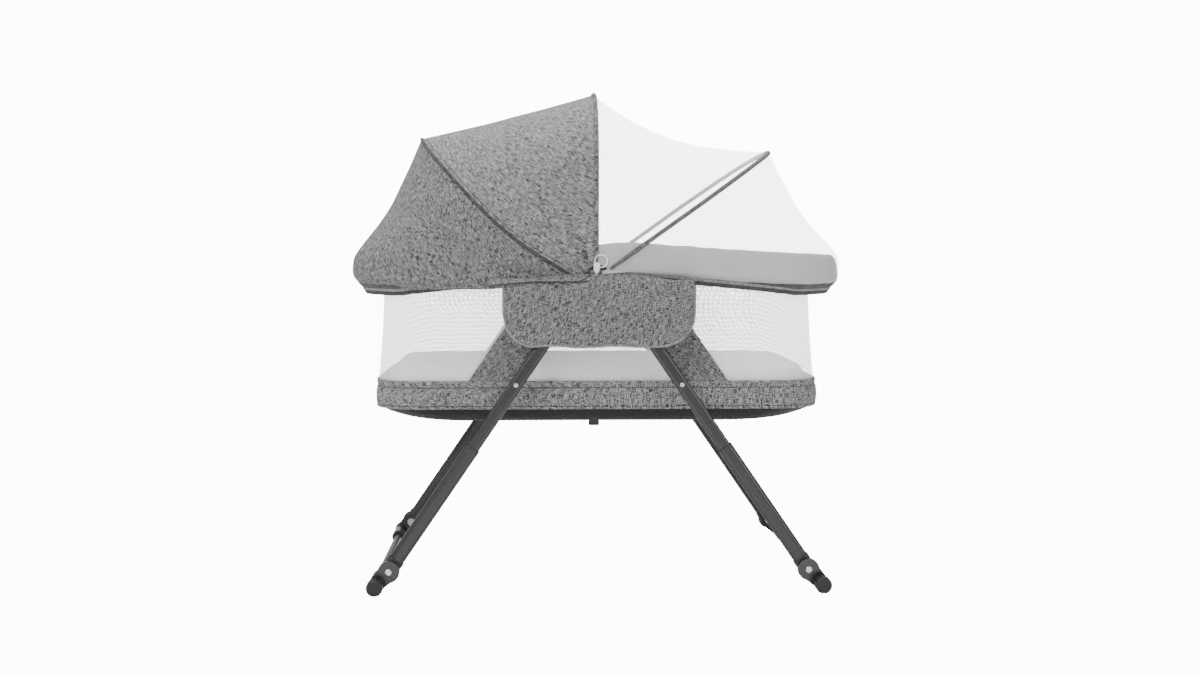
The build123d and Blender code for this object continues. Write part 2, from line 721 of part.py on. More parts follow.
# Zip slider, running up the centre hoop from the front hub
with BuildPart() as zip_slider:
    with BuildSketch(face_plane(-1, ZIP_Y)):
        with Locations((HOOP_X, ZIP_Z)):
            RectangleRounded(*ZIP_SIZE, 3)
    extrude(amount=ZIP_THICK)
    with BuildSketch(face_plane(-1, ZIP_Y + ZIP_THICK)):
        with Locations((HOOP_X, PULL_Z)):
            RectangleRounded(*PULL_SIZE, 3)
    extrude(amount=1.6)
save(zip_slider.part, "zip_slider")
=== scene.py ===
"""Portable bassinet on a folding stand: the cloth, net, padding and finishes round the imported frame.

Metres, in the frame's own axes: X along the basket, -Y the front, +Z up from the floor.
"""

import bmesh
import bpy
import numpy as np
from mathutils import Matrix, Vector


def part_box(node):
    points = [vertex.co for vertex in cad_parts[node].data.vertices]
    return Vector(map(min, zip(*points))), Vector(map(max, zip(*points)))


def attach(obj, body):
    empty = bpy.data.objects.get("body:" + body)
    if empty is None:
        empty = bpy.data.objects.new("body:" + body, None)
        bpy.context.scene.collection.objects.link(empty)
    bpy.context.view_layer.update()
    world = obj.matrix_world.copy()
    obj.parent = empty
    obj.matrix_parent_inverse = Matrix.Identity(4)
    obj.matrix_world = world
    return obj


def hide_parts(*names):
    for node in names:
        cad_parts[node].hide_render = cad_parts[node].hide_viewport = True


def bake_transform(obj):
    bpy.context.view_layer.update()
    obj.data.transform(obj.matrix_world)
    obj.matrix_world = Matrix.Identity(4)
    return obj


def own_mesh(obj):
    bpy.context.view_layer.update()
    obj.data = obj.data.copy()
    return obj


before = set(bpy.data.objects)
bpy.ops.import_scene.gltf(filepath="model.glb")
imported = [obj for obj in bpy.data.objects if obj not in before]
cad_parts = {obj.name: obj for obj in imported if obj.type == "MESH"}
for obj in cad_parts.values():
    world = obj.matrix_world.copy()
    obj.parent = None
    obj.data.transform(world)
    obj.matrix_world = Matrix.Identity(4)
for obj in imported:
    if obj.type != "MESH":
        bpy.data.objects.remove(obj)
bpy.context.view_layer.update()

# ---------------------------------------------------------------------------------------------
# Camera, floor and lamps
# The view is nearly square on to the long side from just above the rail, with soft light from
# large lamps. Floor and backdrop shine white to the camera only, so that no horizon shows.
# ---------------------------------------------------------------------------------------------

view_camera = bpy.data.cameras.new("view_camera")
view_camera.lens = 50.55
view_camera.sensor_width = 36
camera_object = bpy.data.objects.new("view_camera", view_camera)
camera_object.location = (-0.103, -3.255, 0.630)
camera_object.rotation_euler = (np.radians(86.62), 0, np.radians(-2.0))
bpy.context.scene.collection.objects.link(camera_object)
bpy.context.scene.camera = camera_object


def new_object(name, mesh):
    """Links a mesh into the scene as an object that stays at the origin."""
    thing = bpy.data.objects.new(name, mesh)
    bpy.context.scene.collection.objects.link(thing)
    return thing


def node(tree, kind, inputs=None, **settings):
    """One shader node: settings are its properties, and inputs are values or the sockets that feed it."""
    new = tree.nodes.new(kind)
    for key, value in settings.items():
        setattr(new, key, value)
    for key, value in (inputs or {}).items():
        if isinstance(value, bpy.types.NodeSocket):
            tree.links.new(value, new.inputs[key])
        else:
            new.inputs[key].default_value = value
    return new


def arithmetic(tree, operation, *values):
    """A Math node: each value is a number or the socket that feeds it."""
    return node(tree, "ShaderNodeMath", dict(enumerate(values)), operation=operation)


def new_material(name, **surface):
    """A material with one Principled shader whose own sockets hold the values given by name."""
    made = bpy.data.materials.new(name)
    made.use_nodes = True
    shader = made.node_tree.nodes["Principled BSDF"]
    for key, value in surface.items():
        shader.inputs[key.replace("_", " ")].default_value = value
    return made, made.node_tree, shader


floor_mesh = bpy.data.meshes.new("studio_floor")
floor_mesh.from_pydata([(-30, -12, 0), (30, -12, 0), (30, 40, 0), (-30, 40, 0)], [], [(0, 1, 2, 3)])
studio_floor = new_object("studio_floor", floor_mesh)
floor_paint, floor_tree, floor_shader = new_material("pale_floor", Roughness=0.8)
floor_shader.inputs["Base Color"].default_value = (0.9, 0.9, 0.9, 1)
seen_directly = node(floor_tree, "ShaderNodeLightPath")
floor_glow = node(
    floor_tree, "ShaderNodeMix", {"Factor": seen_directly.outputs["Is Camera Ray"]}, data_type="RGBA"
)
floor_glow.inputs[6].default_value = (0, 0, 0, 1)
floor_glow.inputs[7].default_value = (1, 1, 1, 1)
floor_tree.links.new(floor_glow.outputs[2], floor_shader.inputs["Emission Color"])
floor_shader.inputs["Emission Strength"].default_value = 11.5
floor_mesh.materials.append(floor_paint)

world = bpy.data.worlds.new("studio_air")
world.use_nodes = True
sky = world.node_tree.nodes["Background"]
sky.inputs["Color"].default_value = (1, 1, 1, 1)
sky.inputs["Strength"].default_value = 0.75
white_wall = node(world.node_tree, "ShaderNodeBackground", {"Color": (1, 1, 1, 1), "Strength": 13.0})
sky_path = node(world.node_tree, "ShaderNodeLightPath")
sky_mix = node(world.node_tree, "ShaderNodeMixShader", {0: sky_path.outputs["Is Camera Ray"]})
world.node_tree.links.new(sky.outputs[0], sky_mix.inputs[1])
world.node_tree.links.new(white_wall.outputs[0], sky_mix.inputs[2])
world.node_tree.links.new(sky_mix.outputs[0], world.node_tree.nodes["World Output"].inputs["Surface"])
bpy.context.scene.world = world

LAMPS = {
    "key_lamp": ((-1.9, -2.4, 2.6), 1.4, 105),
    "fill_lamp": ((2.6, -2.4, 1.8), 2.0, 38),
    "top_lamp": ((0.2, 0.4, 3.2), 1.8, 120),
}
for lamp_name, (place, width, power) in LAMPS.items():
    lamp = bpy.data.lights.new(lamp_name, "AREA")
    lamp.shape = "DISK"
    lamp.size = width
    lamp.energy = power
    lamp_object = bpy.data.objects.new(lamp_name, lamp)
    lamp_object.location = place
    aim = Vector((0, 0, 0.5)) - Vector(place)
    lamp_object.rotation_euler = aim.to_track_quat("-Z", "Y").to_euler()
    bpy.context.scene.collection.objects.link(lamp_object)


# ---------------------------------------------------------------------------------------------
# Leg tubes, rail tubes and foot bars
# Flat-oval steel tube, powder coated dark grey. The coat is satin with a fine orange-peel skin,
# and it is rubbed a little brighter where hands and the sliding tubes touch it.
# ---------------------------------------------------------------------------------------------


def new_group(name, inputs, outputs):
    """A shader node group with the given sockets; inputs are (name, kind, default)."""
    group = bpy.data.node_groups.new(name, "ShaderNodeTree")
    for label, kind, default in inputs:
        socket = group.interface.new_socket(label, in_out="INPUT", socket_type=kind)
        if default is not None:
            socket.default_value = default
    for label, kind in outputs:
        group.interface.new_socket(label, in_out="OUTPUT", socket_type=kind)
    return group, group.nodes.new("NodeGroupInput"), group.nodes.new("NodeGroupOutput")


def use_group(tree, group, inputs):
    """Places a node group in a material with its own values."""
    return node(tree, "ShaderNodeGroup", inputs, node_tree=group)


def bump(tree, shader, height, distance, strength=1.0):
    """Feeds the shader's normal from a height that is worth the given distance in metres."""
    made = node(tree, "ShaderNodeBump", {"Height": height, "Distance": distance, "Strength": strength})
    tree.links.new(made.outputs["Normal"], shader.inputs["Normal"])


# Fine skin of a sprayed or moulded surface: a height, a roughness and faint cloudy rubbing
skin_group, skin_in, skin_out = new_group(
    "surface_skin",
    [
        ("Vector", "NodeSocketVector", None),
        ("Grain Size", "NodeSocketFloat", 0.001),
        ("Roughness", "NodeSocketFloat", 0.4),
        ("Base", "NodeSocketColor", (0.1, 0.1, 0.1, 1)),
        ("Rubbed", "NodeSocketColor", (0.2, 0.2, 0.2, 1)),
    ],
    [("Color", "NodeSocketColor"), ("Roughness", "NodeSocketFloat"), ("Height", "NodeSocketFloat")],
)
grain_scale = arithmetic(skin_group, "DIVIDE", 1.0, skin_in.outputs["Grain Size"])
grain = node(
    skin_group,
    "ShaderNodeTexNoise",
    {"Vector": skin_in.outputs["Vector"], "Scale": grain_scale.outputs[0], "Detail": 3.0},
)
cloud = node(
    skin_group,
    "ShaderNodeTexNoise",
    {"Vector": skin_in.outputs["Vector"], "Scale": 22.0, "Detail": 6.0, "Roughness": 0.65},
)
rubbing = node(
    skin_group,
    "ShaderNodeMapRange",
    {"Value": cloud.outputs["Fac"], "From Min": 0.5, "From Max": 0.78, "To Min": 0.0, "To Max": 0.55},
)
skin_colour = node(
    skin_group,
    "ShaderNodeMix",
    {"Factor": rubbing.outputs[0]},
    data_type="RGBA",
)
for mix_input, source in ((6, "Base"), (7, "Rubbed")):
    skin_group.links.new(skin_in.outputs[source], skin_colour.inputs[mix_input])
skin_rough = arithmetic(skin_group, "MULTIPLY_ADD", cloud.outputs["Fac"], 0.16, skin_in.outputs["Roughness"])
skin_group.links.new(skin_colour.outputs[2], skin_out.inputs["Color"])
skin_group.links.new(skin_rough.outputs[0], skin_out.inputs["Roughness"])
skin_group.links.new(grain.outputs["Fac"], skin_out.inputs["Height"])


def skin_material(name, base, rubbed, roughness, grain_size, depth, **surface):
    """Sprayed or moulded finish made with the surface skin group on Object coordinates."""
    made, tree, shader = new_material(name, **surface)
    place = node(tree, "ShaderNodeTexCoord")
    skin = use_group(
        tree,
        skin_group,
        {
            "Vector": place.outputs["Object"],
            "Grain Size": grain_size,
            "Roughness": roughness,
            "Base": (*base, 1),
            "Rubbed": (*rubbed, 1),
        },
    )
    tree.links.new(skin.outputs["Color"], shader.inputs["Base Color"])
    tree.links.new(skin.outputs["Roughness"], shader.inputs["Roughness"])
    bump(tree, shader, skin.outputs["Height"], depth)
    return made


def finish_nodes(material, *names):
    """Gives carried-over frame parts a material in every slot."""
    for name in names:
        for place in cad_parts[name].material_slots:
            place.material = material


SIDES = ("left", "right")
FACES = ("front", "rear")
powder_coat = skin_material(
    "powder_coat",
    (0.009, 0.009, 0.0095),
    (0.02, 0.02, 0.021),
    0.26,
    0.0009,
    0.00004,
    Coat_Weight=0.25,
    Coat_Roughness=0.2,
)
for side in SIDES:
    finish_nodes(powder_coat, f"rail_{side}", f"foot_bar_{side}")
    for face in FACES:
        finish_nodes(powder_coat, f"upper_leg_{side}_{face}", f"lower_leg_{side}_{face}")

# ---------------------------------------------------------------------------------------------
# Mouldings and fittings
# Hubs, leg ends and slide bushes are matt injection mouldings; the hinge castings are polished;
# rings and end caps are soft black plastic. Bolts, pins and snap buttons are nickel plated.
# ---------------------------------------------------------------------------------------------

moulding = skin_material("moulded_nylon", (0.012, 0.012, 0.013), (0.024, 0.024, 0.026), 0.42, 0.0006, 0.00005)
casting = skin_material(
    "polished_moulding",
    (0.012, 0.0125, 0.014),
    (0.028, 0.028, 0.03),
    0.22,
    0.0012,
    0.00003,
    Coat_Weight=0.4,
    Coat_Roughness=0.12,
)
soft_black = skin_material(
    "soft_black_plastic", (0.005, 0.005, 0.005), (0.014, 0.014, 0.014), 0.5, 0.0005, 0.00006
)
nickel = skin_material(
    "nickel_plate", (0.6, 0.6, 0.6), (0.75, 0.75, 0.74), 0.16, 0.0008, 0.00002, Metallic=1.0
)
finish_nodes(moulding, "hub_front", "hub_rear")
finish_nodes(casting, "hub_caps")
finish_nodes(nickel, "leg_pivot_pins", "hoop_pivot_pins")
for side in SIDES:
    finish_nodes(moulding, f"slide_bushes_{side}")
    finish_nodes(soft_black, f"sleeve_rings_{side}", f"end_caps_{side}")
    finish_nodes(nickel, f"foot_bolts_{side}")
    for face in FACES:
        finish_nodes(moulding, f"leg_foot_{side}_{face}")
        finish_nodes(casting, f"foot_casting_{side}_{face}")
        finish_nodes(nickel, f"snap_button_{side}_{face}")

# ---------------------------------------------------------------------------------------------
# Lower band
# A strip of grey heather tweed round the foot of the basket, cut in one length, hemmed at the
# top where the net is sewn to it and pulled down over the tray at the bottom.
# ---------------------------------------------------------------------------------------------


def half_loop(side, start, half_x, half_y, radius, share):
    """Half of a rounded rectangle in plan, from the front middle round one end to the rear middle.

    A skeleton point slides along the straights and waits at the corners, where the direction turns
    a quarter; the outline is the skeleton plus the radius in that direction. Shares are of its length.
    """
    long_x, long_y, arc = half_x - radius - start, 2 * (half_y - radius), np.pi * radius / 2
    steps = np.cumsum([0, long_x, arc, long_y, arc, long_x])
    along = np.asarray(share) * steps[-1]
    bone_x = np.interp(
        along, steps, [start, half_x - radius, half_x - radius, half_x - radius, half_x - radius, start]
    )
    bone_y = np.interp(along, steps, np.array([-1, -1, -1, 1, 1, 1]) * (half_y - radius))
    turn = np.interp(along, steps, np.radians([-90, -90, 0, 0, 90, 90]))
    outward = np.stack([side * np.cos(turn), np.sin(turn)], -1)
    return np.stack([side * bone_x, bone_y], -1) + radius * outward, outward


def whole_loop(half_x, half_y, radius, count):
    """A whole rounded rectangle in plan and its outward directions, anticlockwise from the front middle."""
    share = np.arange(count // 2) / (count // 2)
    right, right_out = half_loop(1, 0, half_x, half_y, radius, share)
    left, left_out = half_loop(-1, 0, half_x, half_y, radius, 1 - share)
    return np.concatenate([right, left]), np.concatenate([right_out, left_out])


def grid_lengths(grid, axis):
    """Distance travelled along one axis of a grid of points, from its first row or column."""
    steps = np.linalg.norm(np.diff(grid, axis=axis), axis=-1)
    pad = np.zeros_like(np.take(steps, [0], axis))
    return np.concatenate([pad, np.cumsum(steps, axis)], axis)


def cloth_mesh(name, grid, wrap=False, flip=False):
    """Quad mesh of a grid of points (rows, columns, 3), whose UV map is in metres of cloth.

    U is the distance along each row and V the distance along each column. Wrap joins the last
    column to the first, and flip turns the faces round.
    """
    rows, columns = grid.shape[:2]
    shown = np.concatenate([grid, grid[:, :1]], 1) if wrap else grid
    cloth = np.stack([grid_lengths(shown, 1), grid_lengths(shown, 0)], -1)
    row, column = np.meshgrid(np.arange(rows - 1), np.arange(shown.shape[1] - 1), indexing="ij")
    corner_rows = np.stack([row, row, row + 1, row + 1], -1).reshape(-1, 4)
    corner_columns = np.stack([column, column + 1, column + 1, column], -1).reshape(-1, 4)
    if flip:
        corner_rows, corner_columns = corner_rows[:, ::-1], corner_columns[:, ::-1]
    faces = corner_rows * columns + corner_columns % columns
    mesh = bpy.data.meshes.new(name)
    mesh.from_pydata(grid.reshape(-1, 3).tolist(), [], faces.tolist())
    mesh.polygons.foreach_set("use_smooth", np.ones(len(faces), bool))
    layer = mesh.uv_layers.new(name="cloth")
    layer.data.foreach_set("uv", cloth[corner_rows, corner_columns].astype(np.float32).ravel())
    mesh.update()
    return mesh


def thicken(thing, thickness, levels=1, offset=0.0):
    """Gives a cloth its thickness, then rounds it."""
    wall = thing.modifiers.new("thickness", "SOLIDIFY")
    wall.thickness = thickness
    wall.offset = offset
    if levels:
        smooth = thing.modifiers.new("smooth", "SUBSURF")
        smooth.levels = levels
        smooth.render_levels = levels


# Heather tweed: slubby dark and pale yarns crossing, with flecks, and a fine over-and-under height
tweed_group, tweed_in, tweed_out = new_group(
    "heather_weave",
    [
        ("Vector", "NodeSocketVector", None),
        ("Dark", "NodeSocketColor", (0.04, 0.04, 0.042, 1)),
        ("Pale", "NodeSocketColor", (0.3, 0.3, 0.31, 1)),
        ("Contrast", "NodeSocketFloat", 1.0),
    ],
    [("Color", "NodeSocketColor"), ("Height", "NodeSocketFloat")],
)
yarns = []
for slub_scale in ((950.0, 100.0, 1.0), (100.0, 950.0, 1.0)):
    stretched = node(
        tweed_group, "ShaderNodeMapping", {"Vector": tweed_in.outputs["Vector"], "Scale": slub_scale}
    )
    yarns.append(
        node(
            tweed_group,
            "ShaderNodeTexNoise",
            {"Vector": stretched.outputs[0], "Scale": 1.0, "Detail": 2.0, "Roughness": 0.6},
        )
    )
crossed = arithmetic(tweed_group, "MULTIPLY_ADD", yarns[1].outputs["Fac"], 0.85, yarns[0].outputs["Fac"])
long_slub = node(
    tweed_group, "ShaderNodeMapping", {"Vector": tweed_in.outputs["Vector"], "Scale": (480.0, 24.0, 1.0)}
)
long_yarn = node(
    tweed_group, "ShaderNodeTexNoise", {"Vector": long_slub.outputs[0], "Scale": 1.0, "Detail": 1.0}
)
crossed = arithmetic(tweed_group, "MULTIPLY_ADD", long_yarn.outputs["Fac"], 0.30, crossed.outputs[0])
fleck = node(
    tweed_group,
    "ShaderNodeTexNoise",
    {"Vector": tweed_in.outputs["Vector"], "Scale": 900.0, "Detail": 2.0},
)
mottled = arithmetic(tweed_group, "MULTIPLY_ADD", fleck.outputs["Fac"], 0.5, crossed.outputs[0])
centred = arithmetic(tweed_group, "SUBTRACT", mottled.outputs[0], 1.325)
spread = arithmetic(tweed_group, "MULTIPLY", centred.outputs[0], tweed_in.outputs["Contrast"])
yarn_share = node(
    tweed_group,
    "ShaderNodeMapRange",
    {"Value": spread.outputs[0], "From Min": -0.14, "From Max": 0.16, "To Min": 0.0, "To Max": 1.0},
    interpolation_type="SMOOTHSTEP",
)
tweed_colour = node(tweed_group, "ShaderNodeMix", {"Factor": yarn_share.outputs[0]}, data_type="RGBA")
tweed_group.links.new(tweed_in.outputs["Dark"], tweed_colour.inputs[6])
tweed_group.links.new(tweed_in.outputs["Pale"], tweed_colour.inputs[7])
apart = node(tweed_group, "ShaderNodeSeparateXYZ", {0: tweed_in.outputs["Vector"]})
threads = []
for axis in ("X", "Y"):
    phase = arithmetic(tweed_group, "MULTIPLY", apart.outputs[axis], 2 * np.pi / 0.0011)
    threads.append(arithmetic(tweed_group, "SINE", phase.outputs[0]))
over_under = arithmetic(tweed_group, "MULTIPLY", threads[0].outputs[0], threads[1].outputs[0])
tweed_height = arithmetic(tweed_group, "MULTIPLY_ADD", over_under.outputs[0], 0.35, mottled.outputs[0])
tweed_group.links.new(tweed_colour.outputs[2], tweed_out.inputs["Color"])
tweed_group.links.new(tweed_height.outputs[0], tweed_out.inputs["Height"])


def tweed_material(name, dark, pale, turn=0.0, contrast=1.0, depth=0.0005, stitched=()):
    """Heather tweed on the piece's own cloth map, with its yarns turned by an angle in degrees.

    Each stitched value is a distance up the cloth where a row of dark dashes is sewn.
    """
    made, tree, shader = new_material(
        name, Roughness=0.95, Sheen_Weight=0.08, Sheen_Roughness=0.5, Specular_IOR_Level=0.2
    )
    cloth = node(tree, "ShaderNodeUVMap", uv_map="cloth")
    turned = node(
        tree, "ShaderNodeMapping", {"Vector": cloth.outputs[0], "Rotation": (0, 0, np.radians(turn))}
    )
    weave = use_group(
        tree,
        tweed_group,
        {"Vector": turned.outputs[0], "Dark": (*dark, 1), "Pale": (*pale, 1), "Contrast": contrast},
    )
    colour = weave.outputs["Color"]
    if stitched:
        parts = node(tree, "ShaderNodeSeparateXYZ", {0: cloth.outputs[0]})
        dash_phase = arithmetic(tree, "MULTIPLY", parts.outputs["X"], 2 * np.pi / 0.005)
        dash_wave = arithmetic(tree, "SINE", dash_phase.outputs[0])
        dash = arithmetic(tree, "GREATER_THAN", dash_wave.outputs[0], -0.45)
        for height in stitched:
            line = arithmetic(tree, "COMPARE", parts.outputs["Y"], height, 0.0009)
            thread = arithmetic(tree, "MULTIPLY", line.outputs[0], dash.outputs[0])
            sewn = node(tree, "ShaderNodeMix", {"Factor": thread.outputs[0]}, data_type="RGBA")
            tree.links.new(colour, sewn.inputs[6])
            sewn.inputs[7].default_value = (*dark, 1)
            colour = sewn.outputs[2]
    tree.links.new(colour, shader.inputs["Base Color"])
    bump(tree, shader, weave.outputs["Height"], depth)
    return made


TWEED_DARK = (0.014, 0.014, 0.0145)
TWEED_PALE = (0.36, 0.36, 0.362)
tweed = tweed_material("heather_tweed", TWEED_DARK, (0.29, 0.29, 0.292))
band_tweed = tweed_material("stitched_tweed", TWEED_DARK, TWEED_PALE, stitched=(0.006, 0.0395))

band_low, band_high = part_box("lower_band")
BASKET_CORNER = 0.088
band_loop, band_out = whole_loop(band_high.x, band_high.y, BASKET_CORNER, 360)


def ring_grid(loop, outward, offsets, heights):
    """Rings of points: the loop moved outwards by each offset, at each height."""
    plan = loop[None] + outward[None] * offsets[..., None]
    tall = np.broadcast_to(heights[:, None], plan.shape[:2])
    return np.concatenate([plan, tall[..., None]], -1)


rise = np.linspace(0, 1, 15)
band_heights = band_low.z - 0.001 + rise * (band_high.z - band_low.z + 0.003)
band_puff = (
    0.0022 * np.sin(np.pi * np.clip(rise / 0.8, 0, 1))
    - 0.0018 * np.exp(-(((rise - 0.8) / 0.045) ** 2))
)
band_around = np.linspace(0, 2 * np.pi, 360, endpoint=False)
band_ripple = (
    0.0009
    * np.sin(23 * band_around + 2.5 * np.sin(5 * band_around))[None]
    * np.sin(np.pi * rise)[:, None]
)
band_grid = ring_grid(band_loop, band_out, band_puff[:, None] + band_ripple, band_heights)
band = new_object("tweed_band", cloth_mesh("tweed_band", band_grid, wrap=True))
band.data.materials.append(band_tweed)
thicken(band, 0.0018)
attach(band, "basket")
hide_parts("lower_band")

# ---------------------------------------------------------------------------------------------
# Bottom tray
# Dark coated nylon stretched under the basket like a shallow bowl and gathered at the corners.
# ---------------------------------------------------------------------------------------------

nylon, nylon_tree, nylon_shader = new_material("dark_nylon", Roughness=0.6, Specular_IOR_Level=0.2)
nylon_map = node(nylon_tree, "ShaderNodeUVMap", uv_map="cloth")
nylon_weave = use_group(
    nylon_tree,
    tweed_group,
    {
        "Vector": nylon_map.outputs[0],
        "Dark": (0.006, 0.006, 0.0065, 1),
        "Pale": (0.018, 0.018, 0.019, 1),
        "Contrast": 0.6,
    },
)
nylon_tree.links.new(nylon_weave.outputs["Color"], nylon_shader.inputs["Base Color"])
bump(nylon_tree, nylon_shader, nylon_weave.outputs["Height"], 0.0002)

tray_low, tray_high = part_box("bottom_tray")
inward = np.linspace(0, 1, 22) ** 1.15
tray_loop, tray_out = whole_loop(tray_high.x - 0.002, tray_high.y - 0.002, BASKET_CORNER, 360)
shrink = 1 - 0.985 * inward
tray_drop = (tray_high.z - tray_low.z) * (1 - (1 - np.clip(inward / 0.32, 0, 1)) ** 2.4)
pucker = (
    0.0016
    * np.sin(61 * band_around + 3 * np.sin(7 * band_around))
    * (0.4 + 0.6 * np.abs(np.sin(2 * band_around)))
)
tray_fold = pucker[None] * np.exp(-(((inward - 0.1) / 0.09) ** 2))[:, None]
tray_grid = np.concatenate(
    [
        (tray_loop[None] * shrink[:, None, None]) + tray_out[None] * tray_fold[..., None],
        np.broadcast_to((tray_high.z + 0.001 - tray_drop)[:, None], tray_fold.shape)[..., None]
        + 0.5 * tray_fold[..., None],
    ],
    -1,
)
tray = new_object("nylon_tray", cloth_mesh("nylon_tray", tray_grid[::-1], wrap=True))
tray.data.materials.append(nylon)
thicken(tray, 0.0012)
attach(tray, "basket")
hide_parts("bottom_tray")

# ---------------------------------------------------------------------------------------------
# Net walls
# White knitted mesh stretched round the basket from the band up to the rail, so that air passes.
# It is sewn into the band below and into the rail covers above, and leans in a little to the rim.
# ---------------------------------------------------------------------------------------------

# A knitted net: round holes on a triangular grid, from three waves 60 degrees apart
net_group, net_in, net_out = new_group(
    "knitted_net",
    [
        ("Vector", "NodeSocketVector", None),
        ("Pitch", "NodeSocketFloat", 0.002),
        ("Open", "NodeSocketFloat", 0.4),
    ],
    [("Alpha", "NodeSocketFloat"), ("Height", "NodeSocketFloat")],
)
net_wobble = node(
    net_group, "ShaderNodeTexNoise", {"Vector": net_in.outputs["Vector"], "Scale": 60.0, "Detail": 2.0}
)
net_shift = node(
    net_group,
    "ShaderNodeVectorMath",
    {0: net_wobble.outputs["Color"], 1: (0.0012, 0.0012, 0)},
    operation="MULTIPLY",
)
net_place = node(
    net_group, "ShaderNodeVectorMath", {0: net_in.outputs["Vector"], 1: net_shift.outputs[0]}, operation="ADD"
)
net_count = arithmetic(net_group, "DIVIDE", 4 * np.pi / np.sqrt(3), net_in.outputs["Pitch"])
waves = None
for degrees in (90, 210, 330):
    direction = (np.cos(np.radians(degrees)), np.sin(np.radians(degrees)), 0)
    along_wave = node(
        net_group,
        "ShaderNodeVectorMath",
        {0: net_place.outputs[0], 1: direction},
        operation="DOT_PRODUCT",
    )
    turns = arithmetic(net_group, "MULTIPLY", along_wave.outputs["Value"], net_count.outputs[0])
    wave = arithmetic(net_group, "COSINE", turns.outputs[0])
    if waves is None:
        waves = wave
    else:
        waves = arithmetic(net_group, "ADD", waves.outputs[0], wave.outputs[0])
net_share = node(
    net_group,
    "ShaderNodeMapRange",
    {"Value": waves.outputs[0], "From Min": -1.5, "From Max": 3.0, "To Min": 1.0, "To Max": 0.0},
)
net_edge = arithmetic(net_group, "SUBTRACT", net_share.outputs[0], net_in.outputs["Open"])
net_alpha = node(
    net_group,
    "ShaderNodeMapRange",
    {"Value": net_edge.outputs[0], "From Min": -0.3, "From Max": 0.3, "To Min": 0.0, "To Max": 1.0},
    interpolation_type="SMOOTHSTEP",
)
net_group.links.new(net_alpha.outputs[0], net_out.inputs["Alpha"])
net_group.links.new(net_share.outputs[0], net_out.inputs["Height"])


def net_material(name, colour, pitch, opening):
    """Knitted net on the piece's own cloth map: threads of one colour with real holes between them. The
    threads are painted darker where the knit's height drops towards the holes: painted shade.
    """
    made, tree, shader = new_material(name, Roughness=0.75, Specular_IOR_Level=0.25)
    cloth = node(tree, "ShaderNodeUVMap", uv_map="cloth")
    knit = use_group(tree, net_group, {"Vector": cloth.outputs[0], "Pitch": pitch, "Open": opening})
    # Painted shade: the threads' colour falls to 0.8 of itself where the knit's height is low, at the edges
    # of the holes
    painted_thread_shade = node(tree, "ShaderNodeMix", {"Factor": knit.outputs["Height"]}, data_type="RGBA")
    painted_thread_shade.inputs[6].default_value = (*[0.8 * part for part in colour], 1)
    painted_thread_shade.inputs[7].default_value = (*colour, 1)
    tree.links.new(painted_thread_shade.outputs[2], shader.inputs["Base Color"])
    tree.links.new(knit.outputs["Alpha"], shader.inputs["Alpha"])
    bump(tree, shader, knit.outputs["Height"], 0.00012)
    return made


wall_net = net_material("white_wall_net", (0.94, 0.94, 0.945), 0.0013, 0.63)

wall_low, wall_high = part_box("net_wall")
RIM_HALF_LENGTH = 0.391
WALL_CORNER = 0.084
wall_rise = np.linspace(0, 1, 12)
foot_loop, foot_out = whole_loop(wall_high.x, wall_high.y, WALL_CORNER, 240)
rim_loop = whole_loop(RIM_HALF_LENGTH, wall_high.y, WALL_CORNER, 240)[0]
wall_plan = foot_loop[None] * (1 - wall_rise[:, None, None]) + rim_loop[None] * wall_rise[:, None, None]
wall_sag = -0.0025 * np.sin(np.pi * wall_rise)
wall_plan = wall_plan + foot_out[None] * wall_sag[:, None, None]
wall_heights = np.broadcast_to(
    (wall_low.z - 0.006 + wall_rise * (wall_high.z - wall_low.z + 0.012))[:, None], wall_plan.shape[:2]
)
wall_grid = np.concatenate([wall_plan, wall_heights[..., None]], -1)


wall = new_object("net_walls", cloth_mesh("net_walls", wall_grid, wrap=True))
wall.data.materials.append(wall_net)
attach(wall, "basket")
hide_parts("net_wall")

# ---------------------------------------------------------------------------------------------
# Mattress
# A thin foam pad in a white knitted cover, quilted in diamonds.
# It lies loose on the two floor boards.
# ---------------------------------------------------------------------------------------------

bedding, bedding_tree, bedding_shader = new_material(
    "quilted_white_cover", Roughness=0.85, Sheen_Weight=0.3, Sheen_Roughness=0.4, Specular_IOR_Level=0.25
)
bedding_place = node(bedding_tree, "ShaderNodeTexCoord")
bedding_weave = use_group(
    bedding_tree,
    tweed_group,
    {
        "Vector": bedding_place.outputs["Object"],
        "Dark": (0.62, 0.62, 0.625, 1),
        "Pale": (0.76, 0.76, 0.76, 1),
    },
)
bedding_tree.links.new(bedding_weave.outputs["Color"], bedding_shader.inputs["Base Color"])
bump(bedding_tree, bedding_shader, bedding_weave.outputs["Height"], 0.0003)

pad_low, pad_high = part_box("mattress")
PAD_CORNER = 0.07
PAD_EDGE = 0.014
PAD_SLACK = 0.003


